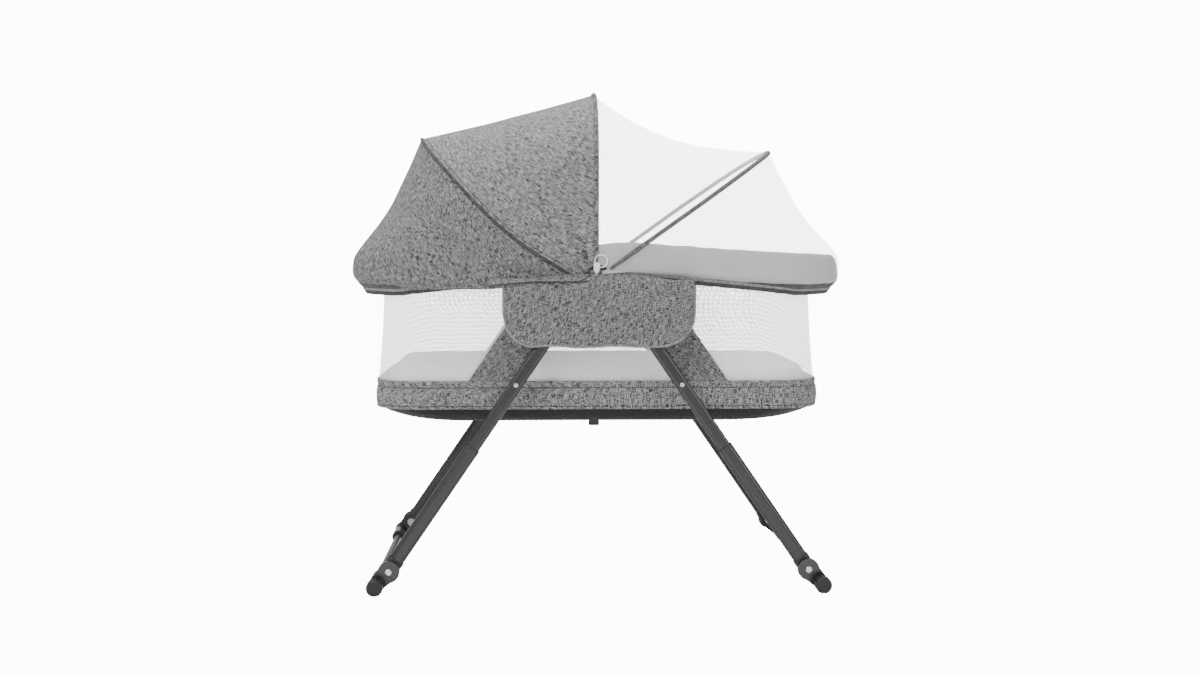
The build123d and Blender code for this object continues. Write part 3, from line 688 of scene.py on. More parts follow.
def slab_mesh(name, low, high, corner, edge, count):
    """Closed slab, rounded at corners and edges: rings go out below, up, and back in on top."""
    centre_x, centre_y = (low.x + high.x) / 2, (low.y + high.y) / 2
    half_x, half_y = (high.x - low.x) / 2, (high.y - low.y) / 2
    quarter = np.linspace(0, np.pi / 2, 6)
    spread = np.linspace(0.12, 1, 10)[:-1]
    inset = np.concatenate([edge * (1 - np.sin(quarter)), edge * (1 - np.cos(quarter))])
    height = np.concatenate([low.z + edge * (1 - np.cos(quarter)), high.z - edge * (1 - np.sin(quarter))])
    loop, out = whole_loop(half_x, half_y, corner, count)
    ring = loop[None] - out[None] * inset[:, None, None]
    bottom = ring[:1] * spread[:, None, None]
    top = ring[-1:] * spread[::-1, None, None]
    plan = np.concatenate([bottom, ring, top]) + [centre_x, centre_y]
    tall = np.concatenate([np.full(len(spread), low.z), height, np.full(len(spread), high.z)])
    rows = len(tall)
    points = np.concatenate([plan, np.broadcast_to(tall[:, None, None], (rows, count, 1))], -1).reshape(-1, 3)
    row, column = np.meshgrid(np.arange(rows - 1), np.arange(count), indexing="ij")
    beside = (column + 1) % count
    quads = np.stack(
        [
            row * count + column,
            row * count + beside,
            (row + 1) * count + beside,
            (row + 1) * count + column,
        ],
        -1,
    )
    poles = np.array([[centre_x, centre_y, low.z], [centre_x, centre_y, high.z]])
    first, last = len(points), len(points) + 1
    ring_now, ring_next = np.arange(count), (np.arange(count) + 1) % count
    caps = [(first, int(b), int(a)) for a, b in zip(ring_now, ring_next)]
    caps += [
        (last, int((rows - 1) * count + a), int((rows - 1) * count + b))
        for a, b in zip(ring_now, ring_next)
    ]
    mesh = bpy.data.meshes.new(name)
    mesh.from_pydata(np.concatenate([points, poles]).tolist(), [], quads.reshape(-1, 4).tolist() + caps)
    mesh.polygons.foreach_set("use_smooth", np.ones(len(mesh.polygons), bool))
    mesh.update()
    return mesh


def vertex_array(mesh):
    """All of a mesh's points as one array."""
    points = np.empty(len(mesh.vertices) * 3, np.float32)
    mesh.vertices.foreach_get("co", points)
    return points.reshape(-1, 3).astype(float)


def plump(thing, voxel, pressure, cap, low, high, frames=20):
    """Swells a closed pad: remesh, inflate with the cloth solver, limit the travel, stay in the box."""
    bpy.context.view_layer.objects.active = thing
    even = thing.modifiers.new("even", "REMESH")
    even.mode = "VOXEL"
    even.voxel_size = voxel
    even.use_smooth_shade = True
    bpy.ops.object.modifier_apply(modifier=even.name)
    before = vertex_array(thing.data)
    cloth = thing.modifiers.new("cloth", "CLOTH")
    cloth.settings.use_pressure = True
    cloth.settings.uniform_pressure_force = pressure
    cloth.settings.effector_weights.gravity = 0
    cloth.settings.quality = 5
    cloth.point_cache.frame_start = 1
    cloth.point_cache.frame_end = frames
    for step in range(1, frames + 1):
        bpy.context.scene.frame_set(step)
    solved = thing.evaluated_get(bpy.context.evaluated_depsgraph_get()).to_mesh()
    after = vertex_array(solved)
    thing.modifiers.remove(cloth)
    bpy.context.scene.frame_set(1)
    travel = after - before
    length = np.linalg.norm(travel, axis=1, keepdims=True)
    after = before + travel * np.minimum(1, cap / np.maximum(length, 1e-9))
    after = np.clip(after, np.array(low), np.array(high))
    thing.data.vertices.foreach_set("co", after.astype(np.float32).ravel())
    thing.data.update()
    return after


pad_inner_low = Vector((pad_low.x + PAD_SLACK, pad_low.y + PAD_SLACK, pad_low.z))
pad_inner_high = Vector((pad_high.x - PAD_SLACK, pad_high.y - PAD_SLACK, pad_high.z - PAD_SLACK))
pad = new_object(
    "mattress_pad", slab_mesh("mattress_pad", pad_inner_low, pad_inner_high, PAD_CORNER, PAD_EDGE, 160)
)
pad_points = plump(pad, 0.006, 4.0, 0.008, pad_low, pad_high)
quilt_top = np.clip((pad_points[:, 2] - (pad_high.z - 0.012)) / 0.006, 0, 1)
QUILT_PITCH = 0.075
diagonal = (
    np.stack([pad_points[:, 0] + pad_points[:, 1], pad_points[:, 0] - pad_points[:, 1]])
    * np.pi / QUILT_PITCH
)
channel = np.exp(-((np.abs(np.sin(diagonal)) / 0.16) ** 2)).max(0)
pad_points[:, 2] -= 0.0028 * channel * quilt_top
pad.data.vertices.foreach_set("co", pad_points.astype(np.float32).ravel())
pad.data.update()
pad_round = pad.modifiers.new("smooth", "SUBSURF")
pad_round.levels = 1
pad_round.render_levels = 1
pad.data.materials.append(bedding)
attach(pad, "basket")
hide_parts("mattress")

# ---------------------------------------------------------------------------------------------
# Floor boards and their wire frame
# Two hardboard panels with a sawn edge, lying on a bent wire ring that holds the basket's floor.
# ---------------------------------------------------------------------------------------------

hardboard = skin_material("hardboard", (0.33, 0.24, 0.16), (0.42, 0.32, 0.22), 0.75, 0.002, 0.0002)
finish_nodes(hardboard, "floor_board_left", "floor_board_right")
drawn_wire = skin_material(
    "galvanised_wire", (0.32, 0.32, 0.33), (0.5, 0.5, 0.5), 0.35, 0.0015, 0.00003, Metallic=1.0
)
finish_nodes(drawn_wire, "floor_frame")

# ---------------------------------------------------------------------------------------------
# Rail covers
# A padded grey sleeve over each half of the rim rail. It stands higher beside the hubs and hangs
# lower round the ends, where its binding and a dark elastic edge grip the net below.
# ---------------------------------------------------------------------------------------------


def curve_through(points, count):
    """Smooth curve through rows of points, with equal steps along it.

    Each span is a cubic whose slope at a point is half the step between its neighbours; points may
    carry any extra axes after the first. Each of those curves has its spacing evened along its own length.
    """
    points = np.asarray(points, float)
    padded = np.concatenate([[2 * points[0] - points[1]], points, [2 * points[-1] - points[-2]]])
    fine = np.linspace(0, len(points) - 1, 24 * len(points))
    start = np.clip(fine.astype(int), 0, len(points) - 2)
    part = (fine - start).reshape(-1, *[1] * (points.ndim - 1))
    a, b, c, d = (padded[start + step] for step in range(4))
    square = 2 * a - 5 * b + 4 * c - d
    cube = 3 * b - a - 3 * c + d
    path = 0.5 * (2 * b + (c - a) * part + square * part**2 + cube * part**3)
    steps = np.linalg.norm(np.diff(path, axis=0), axis=-1)
    lengths = np.concatenate([np.zeros((1, *steps.shape[1:])), np.cumsum(steps, 0)])
    lengths = lengths.reshape(len(fine), -1)
    flat = path.reshape(len(fine), lengths.shape[1], -1)
    wanted = np.linspace(0, 1, count)
    even = np.empty((count, *flat.shape[1:]))
    for lane in range(flat.shape[1]):
        share = lengths[:, lane] / max(lengths[-1, lane], 1e-9)
        for axis in range(flat.shape[2]):
            even[:, lane, axis] = np.interp(wanted, share, flat[:, lane, axis])
    return even.reshape(count, *points.shape[1:])


RAIL_Z = 0.585
RAIL_HALF_LENGTH = 0.428
RAIL_HALF_WIDTH = 0.226
RAIL_CORNER = 0.095
pale_tweed = tweed_material("pale_heather", (0.016, 0.016, 0.0165), (0.13, 0.13, 0.132), contrast=0.9)
binding_cloth = tweed_material(
    "grey_binding", (0.10, 0.10, 0.102), (0.30, 0.30, 0.30), turn=45, contrast=0.6, depth=0.0003
)
elastic_cloth = tweed_material(
    "dark_elastic", (0.022, 0.022, 0.023), (0.09, 0.09, 0.09), turn=45, contrast=0.9
)

COVER_START = -0.008
COVER_COLUMNS = 200
COVER_ROWS = 26
cover_share = np.linspace(0, 1, COVER_COLUMNS)
for side, sign in (("left", -1), ("right", 1)):
    cover_line, cover_out = half_loop(
        sign, COVER_START, RAIL_HALF_LENGTH, RAIL_HALF_WIDTH, RAIL_CORNER, cover_share
    )
    from_hub = np.clip((np.abs(cover_line[:, 0]) - 0.02) / 0.33, 0, 1)
    reach = sign * cover_line[:, 0]
    cover_top = np.interp(reach, [0, 0.066, 0.25, 0.374, 0.44], [0.029, 0.036, 0.0235, 0.0155, 0.0130])
    cover_hem = np.interp(reach, [0.05, 0.157, 0.281, 0.361, 0.44], [-0.0185, -0.028, -0.040, -0.049, -0.047])
    middle = (cover_top + cover_hem) / 2
    slim = 0.0028 if side == "left" else 0.0
    slack = 0.0012 * np.sin(40 * np.pi * cover_share) * np.sin(9 * np.pi * cover_share + 1)
    flat = np.zeros_like(cover_top)
    section = np.stack(
        [
            np.stack([flat - 0.0135, np.maximum(cover_hem, -0.034)], -1),
            np.stack([flat - 0.0170, flat - 0.004], -1),
            np.stack([flat - 0.0120, cover_top - 0.010], -1),
            np.stack([flat + 0.0005, cover_top + slack], -1),
            np.stack(
                [
                    flat + 0.0120 - 0.5 * slim + 0.0062 * np.exp(-((reach / 0.07) ** 2)),
                    cover_top - 0.007 + slack,
                ],
                -1,
            ),
            np.stack([flat + 0.0172 - slim + 0.0016 * np.exp(-((reach / 0.07) ** 2)), middle], -1),
            np.stack([flat + 0.0158 - 1.6 * slim, cover_hem + 0.012], -1),
            np.stack([0.0140 - 0.012 * from_hub - slim, cover_hem], -1),
        ]
    )
    rows = curve_through(section, COVER_ROWS)
    plan = cover_line[None] + cover_out[None] * rows[..., :1]
    cover_grid = np.concatenate([plan, RAIL_Z + rows[..., 1:]], -1)
    puffs = 0.0009 * np.sin(58 * np.pi * cover_share + 3 * np.sin(11 * np.pi * cover_share))
    cover_grid[..., :2] += (
        cover_out[None]
        * (puffs[None] * np.sin(np.linspace(0, np.pi, COVER_ROWS))[:, None])[..., None]
    )
    cover_mesh = cloth_mesh(f"rail_sleeve_{side}", cover_grid, flip=side == "right")
    cover = new_object(f"rail_sleeve_{side}", cover_mesh)
    cover_mesh.materials.append(pale_tweed)
    thicken(cover, 0.0022)
    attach(cover, "basket")
    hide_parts(f"rail_cover_{side}")

    # The binding is sewn over the sleeve's outer hem, and the elastic hangs ruffled from under it
    hem_line = cover_line + cover_out * (0.0158 - 0.012 * from_hub - slim)[:, None]
    hem_z = RAIL_Z + cover_hem
    fold_count = 150
    ruffle = 0.0016 * np.sin(fold_count * np.pi * cover_share + 4 * np.sin(17 * np.pi * cover_share))
    strip = []
    for drop, out_by in ((0.007, 0.0016), (0.0, 0.002), (-0.0025, 0.0008)):
        strip.append(np.concatenate([hem_line + cover_out * out_by, (hem_z + drop)[:, None]], -1))
    binding_grid = np.array(strip)
    binding_piece = new_object(
        f"sleeve_binding_{side}", cloth_mesh(f"sleeve_binding_{side}", binding_grid, flip=side == "left")
    )
    binding_piece.data.materials.append(binding_cloth)
    thicken(binding_piece, 0.0016)
    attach(binding_piece, "basket")
    edge_rows = []
    for drop, in_by, wave in ((-0.001, 0.0, 0.2), (-0.005, 0.002, 0.7), (-0.010, 0.006, 1.0)):
        plan_row = hem_line + cover_out * (wave * ruffle - in_by)[:, None]
        edge_rows.append(np.concatenate([plan_row, (hem_z + drop + 0.4 * wave * ruffle)[:, None]], -1))
    elastic_grid = np.array(edge_rows)
    elastic_piece = new_object(
        f"sleeve_elastic_{side}", cloth_mesh(f"sleeve_elastic_{side}", elastic_grid, flip=side == "right")
    )
    elastic_piece.data.materials.append(elastic_cloth)
    thicken(elastic_piece, 0.0014)
    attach(elastic_piece, "basket")

# ---------------------------------------------------------------------------------------------
# Canopy hoops
# Three sprung wires that turn on the hubs, each in a sewn tunnel of the canopy. The left tunnel
# is a dark piping, the centre one grey tweed and the right one a paler piping.
# ---------------------------------------------------------------------------------------------

HOOP_HALF_WIDTH = 0.2480
HOOP_COUNT = 181
TUNNEL_SIDES = 12
HOOP_PATHS = {
    "left": [(-36, 556, 0), (-134, 616, 0), (-208, 680, 3), (-288, 767, 60), (-324, 812, 160)],
    "centre": [(-4, 586, 0), (-4, 700, 0), (-4, 800, 3), (-4, 870, 65), (-4, 897, 165)],
    "right": [(19, 574, 0), (120, 646, 0), (200, 703, 3), (281, 760, 60), (324, 789, 160)],
}
hoop_lines = {}
for name, marks in HOOP_PATHS.items():
    marks = np.array(marks, float) / 1000
    front = np.stack([marks[:, 0], marks[:, 2] - HOOP_HALF_WIDTH, marks[:, 1]], -1)
    rear = front[::-1] * [1, -1, 1]
    hoop_lines[name] = curve_through(np.concatenate([front, rear]), HOOP_COUNT)


def sleeve_grid(path, radius, sides, flatten=1.0):
    """Rings round a path: each is a circle in the plane across the path, squashed in the second direction."""
    tangent = np.gradient(path, axis=0)
    tangent /= np.linalg.norm(tangent, axis=1, keepdims=True)
    reference = np.cross(path[0] - path[len(path) // 2], path[-1] - path[len(path) // 2])
    reference /= np.linalg.norm(reference)
    across = np.cross(tangent, reference)
    across /= np.linalg.norm(across, axis=1, keepdims=True)
    other = np.cross(across, tangent)
    angle = np.linspace(0, 2 * np.pi, sides, endpoint=False)
    radius = np.broadcast_to(radius, len(path))[:, None, None]
    ring = (
        np.cos(angle)[None, :, None] * across[:, None]
        + flatten * np.sin(angle)[None, :, None] * other[:, None]
    )
    return path[:, None] + radius * ring


def close_ends(mesh, rows, columns):
    """Closes both ends of a tube made from rings with one many-sided face each."""
    work = bmesh.new()
    work.from_mesh(mesh)
    work.verts.ensure_lookup_table()
    work.faces.new([work.verts[i] for i in reversed(range(columns))])
    work.faces.new([work.verts[(rows - 1) * columns + i] for i in range(columns)])
    bmesh.ops.recalc_face_normals(work, faces=work.faces)
    work.to_mesh(mesh)
    work.free()
    mesh.update()


dark_piping = tweed_material(
    "dark_piping", (0.015, 0.015, 0.016), (0.085, 0.085, 0.086), turn=45, contrast=0.7, depth=0.0002
)
grey_piping = tweed_material(
    "grey_piping", (0.03, 0.03, 0.031), (0.19, 0.19, 0.192), turn=45, contrast=0.8, depth=0.0002
)
hoop_finish = {"left": (dark_piping, 0.0034), "centre": (tweed, 0.0046), "right": (grey_piping, 0.0044)}
for name, path in hoop_lines.items():
    cover_material, radius = hoop_finish[name]
    along = np.linspace(0, 1, HOOP_COUNT)
    taper = 0.62 + 0.38 * np.clip(np.minimum(along, 1 - along) / 0.04, 0, 1)
    tunnel_grid = sleeve_grid(path, radius * taper, TUNNEL_SIDES)
    tunnel_mesh = cloth_mesh(f"hoop_tunnel_{name}", tunnel_grid, wrap=True)
    close_ends(tunnel_mesh, HOOP_COUNT, TUNNEL_SIDES)
    tunnel = new_object(f"hoop_tunnel_{name}", tunnel_mesh)
    tunnel_mesh.materials.append(cover_material)
    rounding = tunnel.modifiers.new("smooth", "SUBSURF")
    rounding.levels = 1
    rounding.render_levels = 1
    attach(tunnel, f"{name}_hoop")
    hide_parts(f"hoop_{name}")

# ---------------------------------------------------------------------------------------------
# Canopy, closed half
# Grey heather cloth in two panels: one from the elastic hem round the left end up to the left
# hoop, and one from that hoop to the centre. They gather into folds beside the hubs.
# ---------------------------------------------------------------------------------------------


def grid_normals(grid):
    """Unit normals of a grid of points, from the cross product of its two directions."""
    normal = np.cross(np.gradient(grid, axis=1), np.gradient(grid, axis=0))
    return normal / np.maximum(np.linalg.norm(normal, axis=-1, keepdims=True), 1e-9)


def crossing_cloth(thing):
    """Bakes the cloth's placement into its mesh, and leaves it attached to no body."""
    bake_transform(thing)


def folds(along, across, marks):
    """Sum of creases: each is (along, across, slope, width, length, depth), a ridge with a soft end."""
    total = 0
    for middle_u, middle_v, slope, width, length, depth in marks:
        du, dv = along - middle_u, across - middle_v
        off = dv - slope * du
        total = total + depth * np.exp(-((off / width) ** 2) - (du / length) ** 2)
    return total


END_ROWS, END_COLUMNS = 44, 181
end_share = np.linspace(0, 1, END_COLUMNS)


def end_panel(sign, hoop, hem_low):
    """Cloth from under the rim rail, out round it and up to a hoop: rows of one smooth curve per column."""
    line, out = half_loop(sign, 0.006, RAIL_HALF_LENGTH, RAIL_HALF_WIDTH, RAIL_CORNER, end_share)
    endness = np.abs(out[:, 0])
    reach = np.abs(line[:, 0])
    hem_z = np.interp(reach, [0, 0.035, 0.10, 0.20, 0.43], [0.560, 0.546, 0.545, 0.538, 0.537])
    top = hoop[:, 2]
    full = np.clip((top - 0.575) / 0.06, 0, 1)
    out_z = hem_z + (0.577 - hem_z) * full + (top - hem_z) * 0.5 * (1 - full)
    shoulder_z = hem_z + (0.604 - hem_z) * full + (top - hem_z) * 0.75 * (1 - full)
    out_off = 0.0214 - 0.0006 * endness
    shoulder_off = 0.0216 - 0.0085 * endness

    def at(offset, height):
        return np.concatenate([line + out * offset[:, None], height[:, None]], -1)

    hem_off = 0.006 - 0.034 * endness
    hem = at(hem_off, hem_z)
    under = at(hem_off + 0.62 * (out_off - hem_off), hem_z + (0.006 + 0.004 * (1 - endness)) * full)
    bulge = at(out_off - 0.0015 * endness, hem_z + 0.54 * (out_z - hem_z))
    outermost = at(out_off, out_z)
    shoulder = at(shoulder_off, shoulder_z)
    third = shoulder + (hoop - shoulder) * 0.33
    third[:, :2] -= out * (0.011 * endness * full)[:, None]
    upper = shoulder + (hoop - shoulder) * 0.68
    upper[:, :2] -= out * (0.007 * endness * full)[:, None]
    stations = [hem, under, bulge, outermost, shoulder, third, upper, hoop]
    if not hem_low:
        sleeve_hem = np.interp(reach, [0.05, 0.157, 0.281, 0.361, 0.44], [0.5665, 0.557, 0.545, 0.536, 0.538])
        low_off = 0.0212 - 0.0142 * np.clip((reach - 0.02) / 0.33, 0, 1)
        stations[:3] = [
            at(low_off, sleeve_hem + 0.004),
            at(out_off - 0.001, sleeve_hem + 0.4 * (out_z - sleeve_hem)),
        ]
    return curve_through(np.array(stations), END_ROWS)


canopy_tweed = tweed_material(
    "canopy_tweed", (0.025, 0.025, 0.0255), (0.37, 0.37, 0.372), turn=90, stitched=(0.009,)
)
end_tweed = tweed_material("canopy_end_tweed", (0.018, 0.018, 0.0185), (0.30, 0.30, 0.302), turn=28)
end_grid = end_panel(-1, hoop_lines["left"], True)
u, v = np.meshgrid(end_share, np.linspace(0, 1, END_ROWS))
fold_in = folds(u, v, [(0.16, 0.45, 1.2, 0.05, 0.10, -0.005), (0.84, 0.45, -1.2, 0.05, 0.10, -0.005)])
fold_in = fold_in + folds(u, v, [(0.30, 0.52, 0.5, 0.06, 0.09, 0.003), (0.70, 0.52, -0.5, 0.06, 0.09, 0.003)])
fold_in = fold_in + folds(
    u, v, [(0.24, 0.56, 0.35, 0.035, 0.11, -0.0035), (0.76, 0.56, -0.35, 0.035, 0.11, -0.0035)]
)
small = 0.0007 * np.sin(26 * u + 9 * v) * np.sin(17 * v + 6 * np.sin(8 * u))
still = np.sin(np.pi * v) ** 0.5
end_grid = end_grid - grid_normals(end_grid) * ((fold_in + small) * still)[..., None]
end_cloth = new_object("canopy_end_cloth", cloth_mesh("canopy_end_cloth", end_grid, flip=True))
end_cloth.data.materials.append(end_tweed)
crossing_cloth(end_cloth)
thicken(end_cloth, 0.0012)
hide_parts("canopy_end")

TOP_ROWS = 34
u, v = np.meshgrid(end_share, np.linspace(0, 1, TOP_ROWS))


def between_hoops(first, second, sag, skew=0.0):
    """Cloth between two hoops: straight from one to the other, then let down towards the basket.

    The drop is a parabola in the share across, leaning to the first hoop by the skew, and it fades
    to nothing at the hubs, where the hoops meet.
    """
    share = np.linspace(0, 1, TOP_ROWS)[:, None, None]
    straight = first[None] * (1 - share) + second[None] * share
    drop = sag * 4 * share * (1 - share) * (1 + skew * (0.5 - share))
    top_share = np.clip((straight[..., 2:] - 0.60) / 0.25, 0, 1)
    inward = np.array([0, 0, -1]) * drop * top_share
    return straight + inward


top_grid = between_hoops(hoop_lines["left"], hoop_lines["centre"], 0.003)
near_hub = np.exp(-(((np.minimum(u, 1 - u)) / 0.11) ** 2))
hub_folds = 0.0055 * near_hub * np.sin(np.pi * v) * (np.sin(5 * np.pi * v + 0.6) - 0.4)
mirror_u = np.minimum(u, 1 - u)
crease_marks = [
    (0.13, 0.62, 1.6, 0.035, 0.10, 0.0030),
    (0.20, 0.35, 1.1, 0.045, 0.12, -0.0030),
    (0.30, 0.55, 0.7, 0.05, 0.10, 0.0016),
    (0.25, 0.80, 0.9, 0.03, 0.08, 0.0020),
]
creases = folds(mirror_u, v, crease_marks)
stretch_marks = [
    (0.55, 0.40, -0.05, 0.010, 0.50, 0.0010),
    (0.60, 0.33, 0.04, 0.013, 0.45, 0.0013),
    (0.50, 0.27, 0.06, 0.012, 0.50, 0.0012),
    (0.60, 0.21, 0.07, 0.014, 0.40, 0.0016),
    (0.62, 0.15, 0.09, 0.014, 0.35, -0.0018),
]
creases = 1.5 * creases + folds(v, mirror_u, stretch_marks)
small = 0.0006 * np.sin(31 * u + 7 * v) * np.sin(15 * v + 5 * np.sin(9 * u))
top_move = (hub_folds * 0.7 + creases * np.sin(np.pi * v) + small * np.sin(np.pi * v)) - 0.002 * near_hub
top_grid = top_grid - grid_normals(top_grid) * top_move[..., None]
top_cloth = new_object("canopy_top_cloth", cloth_mesh("canopy_top_cloth", top_grid, flip=True))
top_cloth.data.materials.append(canopy_tweed)
crossing_cloth(top_cloth)
thicken(top_cloth, 0.0012)
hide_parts("canopy_top")

# ---------------------------------------------------------------------------------------------
# Canopy, net half
# Fine white insect net from the centre hoop over the right hoop and down round the right end,
# where it is held by the rail sleeve. It hangs in a shallow hollow between the two hoops.
# ---------------------------------------------------------------------------------------------

insect_net = net_material("insect_net", (0.95, 0.95, 0.955), 0.0011, 0.80)
net_top_grid = between_hoops(hoop_lines["centre"], hoop_lines["right"], 0.034, 0.35)
net_top_grid = (
    net_top_grid
    + grid_normals(net_top_grid) * (0.0005 * np.sin(24 * u + 5 * v) * np.sin(np.pi * v))[..., None]
)
net_top = new_object("canopy_net_over", cloth_mesh("canopy_net_over", net_top_grid, flip=True))
net_top.data.materials.append(insect_net)
crossing_cloth(net_top)
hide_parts("canopy_net_top")

net_end_grid = end_panel(1, hoop_lines["right"], False)
net_end = new_object("canopy_net_round", cloth_mesh("canopy_net_round", net_end_grid))
net_end.data.materials.append(insect_net)
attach(net_end, "right_hoop")
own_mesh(net_end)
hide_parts("canopy_net_end")

# ---------------------------------------------------------------------------------------------
# Gussets
# Tweed triangles sewn to the net on each face, from the rail down to the band, where the legs
# cross it. They swell a little away from the net.
# ---------------------------------------------------------------------------------------------

GUSSET_Y = 0.2262
gusset_rows = np.linspace(0, 1, 30)
inner_edge = np.array([(0.062, 0.545), (0.062, 0.498), (0.149, 0.3705)])
outer_edge = np.array([(0.117, 0.545), (0.236, 0.3705)])
gusset_z = 0.545 + gusset_rows * (0.3705 - 0.545)
inner_x = np.interp(-gusset_z, -inner_edge[:, 1], inner_edge[:, 0])
outer_x = np.interp(-gusset_z, -outer_edge[:, 1], outer_edge[:, 0])
across = np.linspace(0, 1, 16)
for face, towards in (("front", -1), ("rear", 1)):
    for sign in (-1, 1):
        gusset_x = sign * (inner_x[:, None] * (1 - across) + outer_x[:, None] * across)
        swell = 0.0012 * np.sin(np.pi * across)[None] * np.sin(np.pi * gusset_rows)[:, None]
        gusset_y = np.full_like(gusset_x, towards * GUSSET_Y) + towards * swell
        gusset_grid = np.stack([gusset_x, gusset_y, np.broadcast_to(gusset_z[:, None], gusset_x.shape)], -1)
        label = "left" if sign < 0 else "right"
        gusset = new_object(
            f"gusset_{face}_{label}",
            cloth_mesh(f"gusset_{face}_{label}", gusset_grid, flip=sign * towards < 0),
        )
        gusset.data.materials.append(tweed)
        thicken(gusset, 0.0016)
        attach(gusset, "basket")
    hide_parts(f"gussets_{face}")

# ---------------------------------------------------------------------------------------------
# Flaps over the leg crossings
# A hanging flap of tweed on each face hides the leg pivots. It has rounded lower corners, a pale
# binding and soft wrinkles that fan from its upper corners.
# ---------------------------------------------------------------------------------------------

flap_low, flap_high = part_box("flap_front")
FLAP_FRONT = 0.2732
FLAP_BACK = 0.2490
FLAP_CORNER = 0.058
LIP_STEPS = 160
LIP_SIDES = 10
flap_half = flap_high.x
flap_u = np.linspace(-1, 1, 121)
flap_v = np.linspace(0, 1, 41)
column, row = np.meshgrid(flap_u, flap_v)
drop = flap_high.z - flap_low.z
flap_x = column * flap_half
edge_in = np.clip((np.abs(flap_x) - (flap_half - FLAP_CORNER)) / FLAP_CORNER, 0, 1)
bottom = flap_low.z + FLAP_CORNER * (1 - np.sqrt(np.clip(1 - edge_in**2, 0, 1)))
sag_line = 0.0015 * np.sin(3 * np.pi * column)
flap_z = flap_high.z + (bottom + sag_line - flap_high.z) * row
fan = (
    0.0011
    * np.sin(13 * np.arctan2(row + 0.15, 1.02 - np.abs(column)) + 1.3)
    * np.sin(np.pi * np.clip(row, 0, 1)) ** 0.6
)
flap_creases = [
    (-0.62, 0.42, 0.9, 0.07, 0.30, 0.0022),
    (-0.30, 0.45, -0.7, 0.06, 0.26, 0.0018),
    (0.05, 0.55, -0.9, 0.05, 0.22, 0.0016),
    (0.60, 0.35, 1.2, 0.06, 0.22, 0.0018),
    (0.15, 0.88, 0.1, 0.035, 0.40, -0.0014),
]
fan = 1.6 * fan + 2.2 * folds(column, row, flap_creases)
ripple = 0.0011 * np.sin(7 * column + 2) * row + 0.0006 * np.sin(19 * column + 5 * row) * row
for face, towards in (("front", -1), ("rear", 1)):
    body_y = towards * (FLAP_FRONT + fan + ripple)
    front_grid = np.stack([flap_x, body_y, flap_z], -1)
    turn = np.linspace(0, np.pi / 2, 6)
    over = []
    for angle in turn[::-1]:
        over_y = FLAP_FRONT - 0.0045 * (1 - np.cos(angle)) + fan[0] * np.cos(angle)
        over_z = flap_z[0] + 0.0045 * np.sin(angle)
        over.append(np.stack([flap_x[0], towards * over_y, over_z], -1))
    middle_rise = 0.0125 * np.exp(-((flap_x[0] / 0.11) ** 4))
    back = []
    for share in (1.0, 0.66, 0.33):
        back_y = FLAP_FRONT - 0.0045 - share * (FLAP_FRONT - 0.0045 - FLAP_BACK)
        back_z = flap_z[0] + 0.0045 + share * middle_rise
        back.append(np.stack([flap_x[0], np.full(len(flap_u), towards * back_y), back_z], -1))
    flap_grid = np.concatenate([back, over, front_grid[1:]])
    flap = new_object(f"flap_cloth_{face}", cloth_mesh(f"flap_cloth_{face}", flap_grid, flip=towards < 0))
    flap.data.materials.append(tweed)
    thicken(flap, 0.0018)
    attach(flap, "basket")
    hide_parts(f"flap_{face}")
    rim = np.concatenate([front_grid[:-1, 0], front_grid[-1], front_grid[:-1, -1][::-1]])
    rim = curve_through(rim[::3], LIP_STEPS)
    lip_grid = sleeve_grid(rim, 0.0021, LIP_SIDES)
    lip_mesh = cloth_mesh(f"flap_binding_{face}", lip_grid, wrap=True)
    close_ends(lip_mesh, LIP_STEPS, LIP_SIDES)
    lip = new_object(f"flap_binding_{face}", lip_mesh)
    lip_mesh.materials.append(binding_cloth)
    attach(lip, "basket")
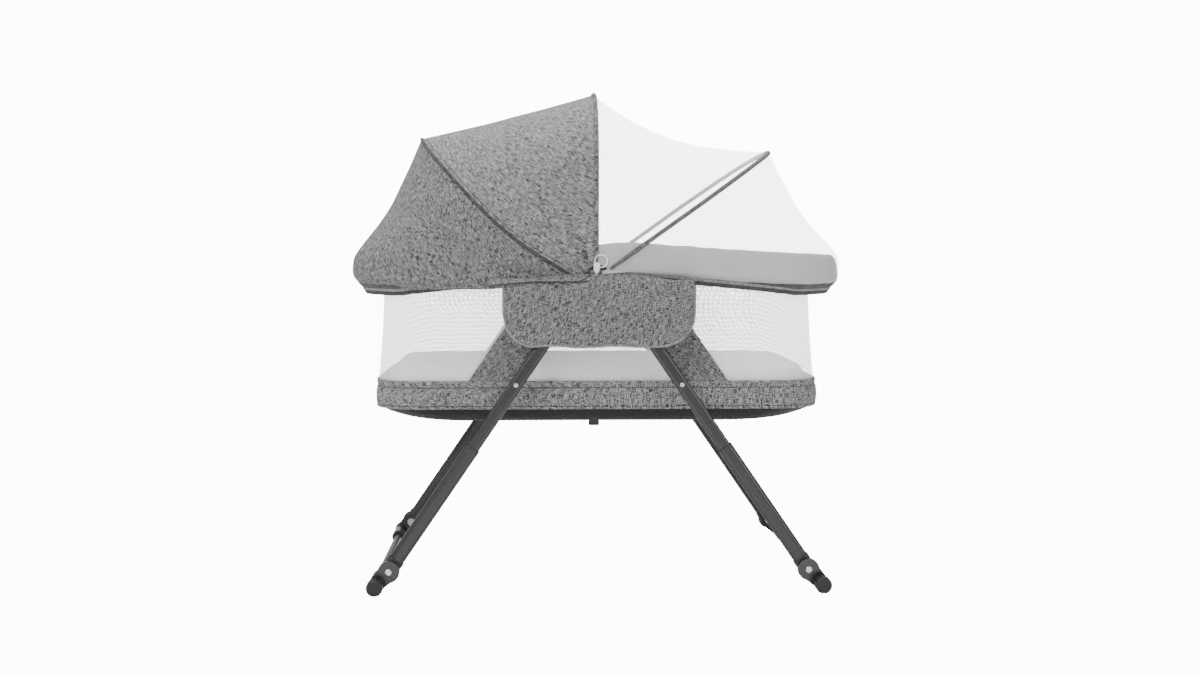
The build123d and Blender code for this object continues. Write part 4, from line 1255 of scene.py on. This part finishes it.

# ---------------------------------------------------------------------------------------------
# Canopy hem over the flaps
# The closed half's front and rear edges are tacked down over the top of each flap, from its left
# corner almost to the zip, with a dark elastic cord in the folded hem. The cord is dark partly as
# the elastic and partly as a painted shadow line under the hem's edge.

hem_marks = np.array(
    [
        (-0.195, 0.5455),
        (-0.150, 0.5505),
        (-0.108, 0.5530),
        (-0.044, 0.5530),
        (-0.028, 0.5570),
        (-0.016, 0.5640),
    ]
)
HEM_COLUMNS = 80
HEM_ELASTIC_AND_SHADOW_SIDES = 8
hem_curve = curve_through(hem_marks, HEM_COLUMNS)
hem_x, hem_line_z = hem_curve[:, 0], hem_curve[:, 1]
hem_top = np.full(HEM_COLUMNS, flap_high.z + 0.0045)
for face, towards in (("front", -1), ("rear", 1)):
    on_flap = FLAP_FRONT + 0.0030 + np.interp(hem_x, flap_x[0], fan[4])
    hem_rows = [
        np.stack([hem_x, towards * on_flap, hem_line_z], -1),
        np.stack([hem_x, towards * (on_flap + 0.0010), hem_line_z + 0.4 * (hem_top - hem_line_z)], -1),
        np.stack([hem_x, towards * (on_flap - 0.0010), hem_line_z + 0.85 * (hem_top - hem_line_z)], -1),
        np.stack([hem_x, np.full(HEM_COLUMNS, towards * (FLAP_FRONT - 0.008)), hem_top + 0.0035], -1),
        np.stack([hem_x, np.full(HEM_COLUMNS, towards * (FLAP_FRONT - 0.013)), hem_top + 0.0045], -1),
    ]
    hem_grid = curve_through(np.array(hem_rows), 14)
    hem_cloth = new_object(f"canopy_hem_{face}", cloth_mesh(f"canopy_hem_{face}", hem_grid, flip=towards < 0))
    hem_cloth.data.materials.append(end_tweed)
    thicken(hem_cloth, 0.0014)
    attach(hem_cloth, "basket")
    # The dark cord along the hem's lower edge is the hem's elastic and also a painted shadow line under the
    # hem
    elastic_and_shadow_path = hem_grid[0] + np.array([0, towards * 0.0006, -0.0004])
    elastic_and_shadow_mesh = cloth_mesh(
        f"canopy_hem_elastic_and_shadow_{face}", sleeve_grid(elastic_and_shadow_path, 0.0015, HEM_ELASTIC_AND_SHADOW_SIDES), wrap=True
    )
    close_ends(elastic_and_shadow_mesh, HEM_COLUMNS, HEM_ELASTIC_AND_SHADOW_SIDES)
    hem_elastic_and_shadow = new_object(f"canopy_hem_elastic_and_shadow_{face}", elastic_and_shadow_mesh)
    elastic_and_shadow_mesh.materials.append(dark_piping)
    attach(hem_elastic_and_shadow, "basket")

# ---------------------------------------------------------------------------------------------
# Small fittings
# A pale ring eyelet beside each hub, the white zip slider at the foot of the centre hoop, the cord
# end of the canopy's elastic, and the pull tape under the floor.
# ---------------------------------------------------------------------------------------------

pale_plastic = skin_material("pale_ring", (0.85, 0.85, 0.85), (0.9, 0.9, 0.9), 0.5, 0.0006, 0.0001)
ring_turn = np.linspace(0, 2 * np.pi, 49)[:-1]
ring_side = np.linspace(0, 2 * np.pi, 9)[:-1]
for face, towards in (("front", -1), ("rear", 1)):
    ring_reach = 0.0112 + 0.0010 * np.cos(ring_side)[:, None]
    ring_x = 0.004 + ring_reach * np.cos(ring_turn)
    ring_z = 0.589 + ring_reach * np.sin(ring_turn)
    ring_y = np.broadcast_to(towards * (0.2513 + 0.0008 * np.sin(ring_side))[:, None], ring_x.shape)
    ring_grid = np.stack([ring_x, ring_y, ring_z], -1)
    ring_grid = np.concatenate([ring_grid, ring_grid[:1]])
    ring_mesh = cloth_mesh(f"ring_eyelet_{face}", ring_grid, wrap=True)
    work = bmesh.new()
    work.from_mesh(ring_mesh)
    bmesh.ops.remove_doubles(work, verts=work.verts, dist=1e-6)
    bmesh.ops.recalc_face_normals(work, faces=work.faces)
    work.to_mesh(ring_mesh)
    work.free()
    eyelet = new_object(f"ring_eyelet_{face}", ring_mesh)
    ring_mesh.materials.append(pale_plastic)
    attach(eyelet, "basket")

white_plastic = skin_material("white_zip_plastic", (0.72, 0.72, 0.72), (0.8, 0.8, 0.8), 0.35, 0.0006, 0.00003)
finish_nodes(white_plastic, "zip_slider")
cord_cloth = skin_material("braided_cord", (0.05, 0.05, 0.052), (0.12, 0.12, 0.12), 0.8, 0.0007, 0.0003)
finish_nodes(cord_cloth, "drawcord_end", "pull_strap")
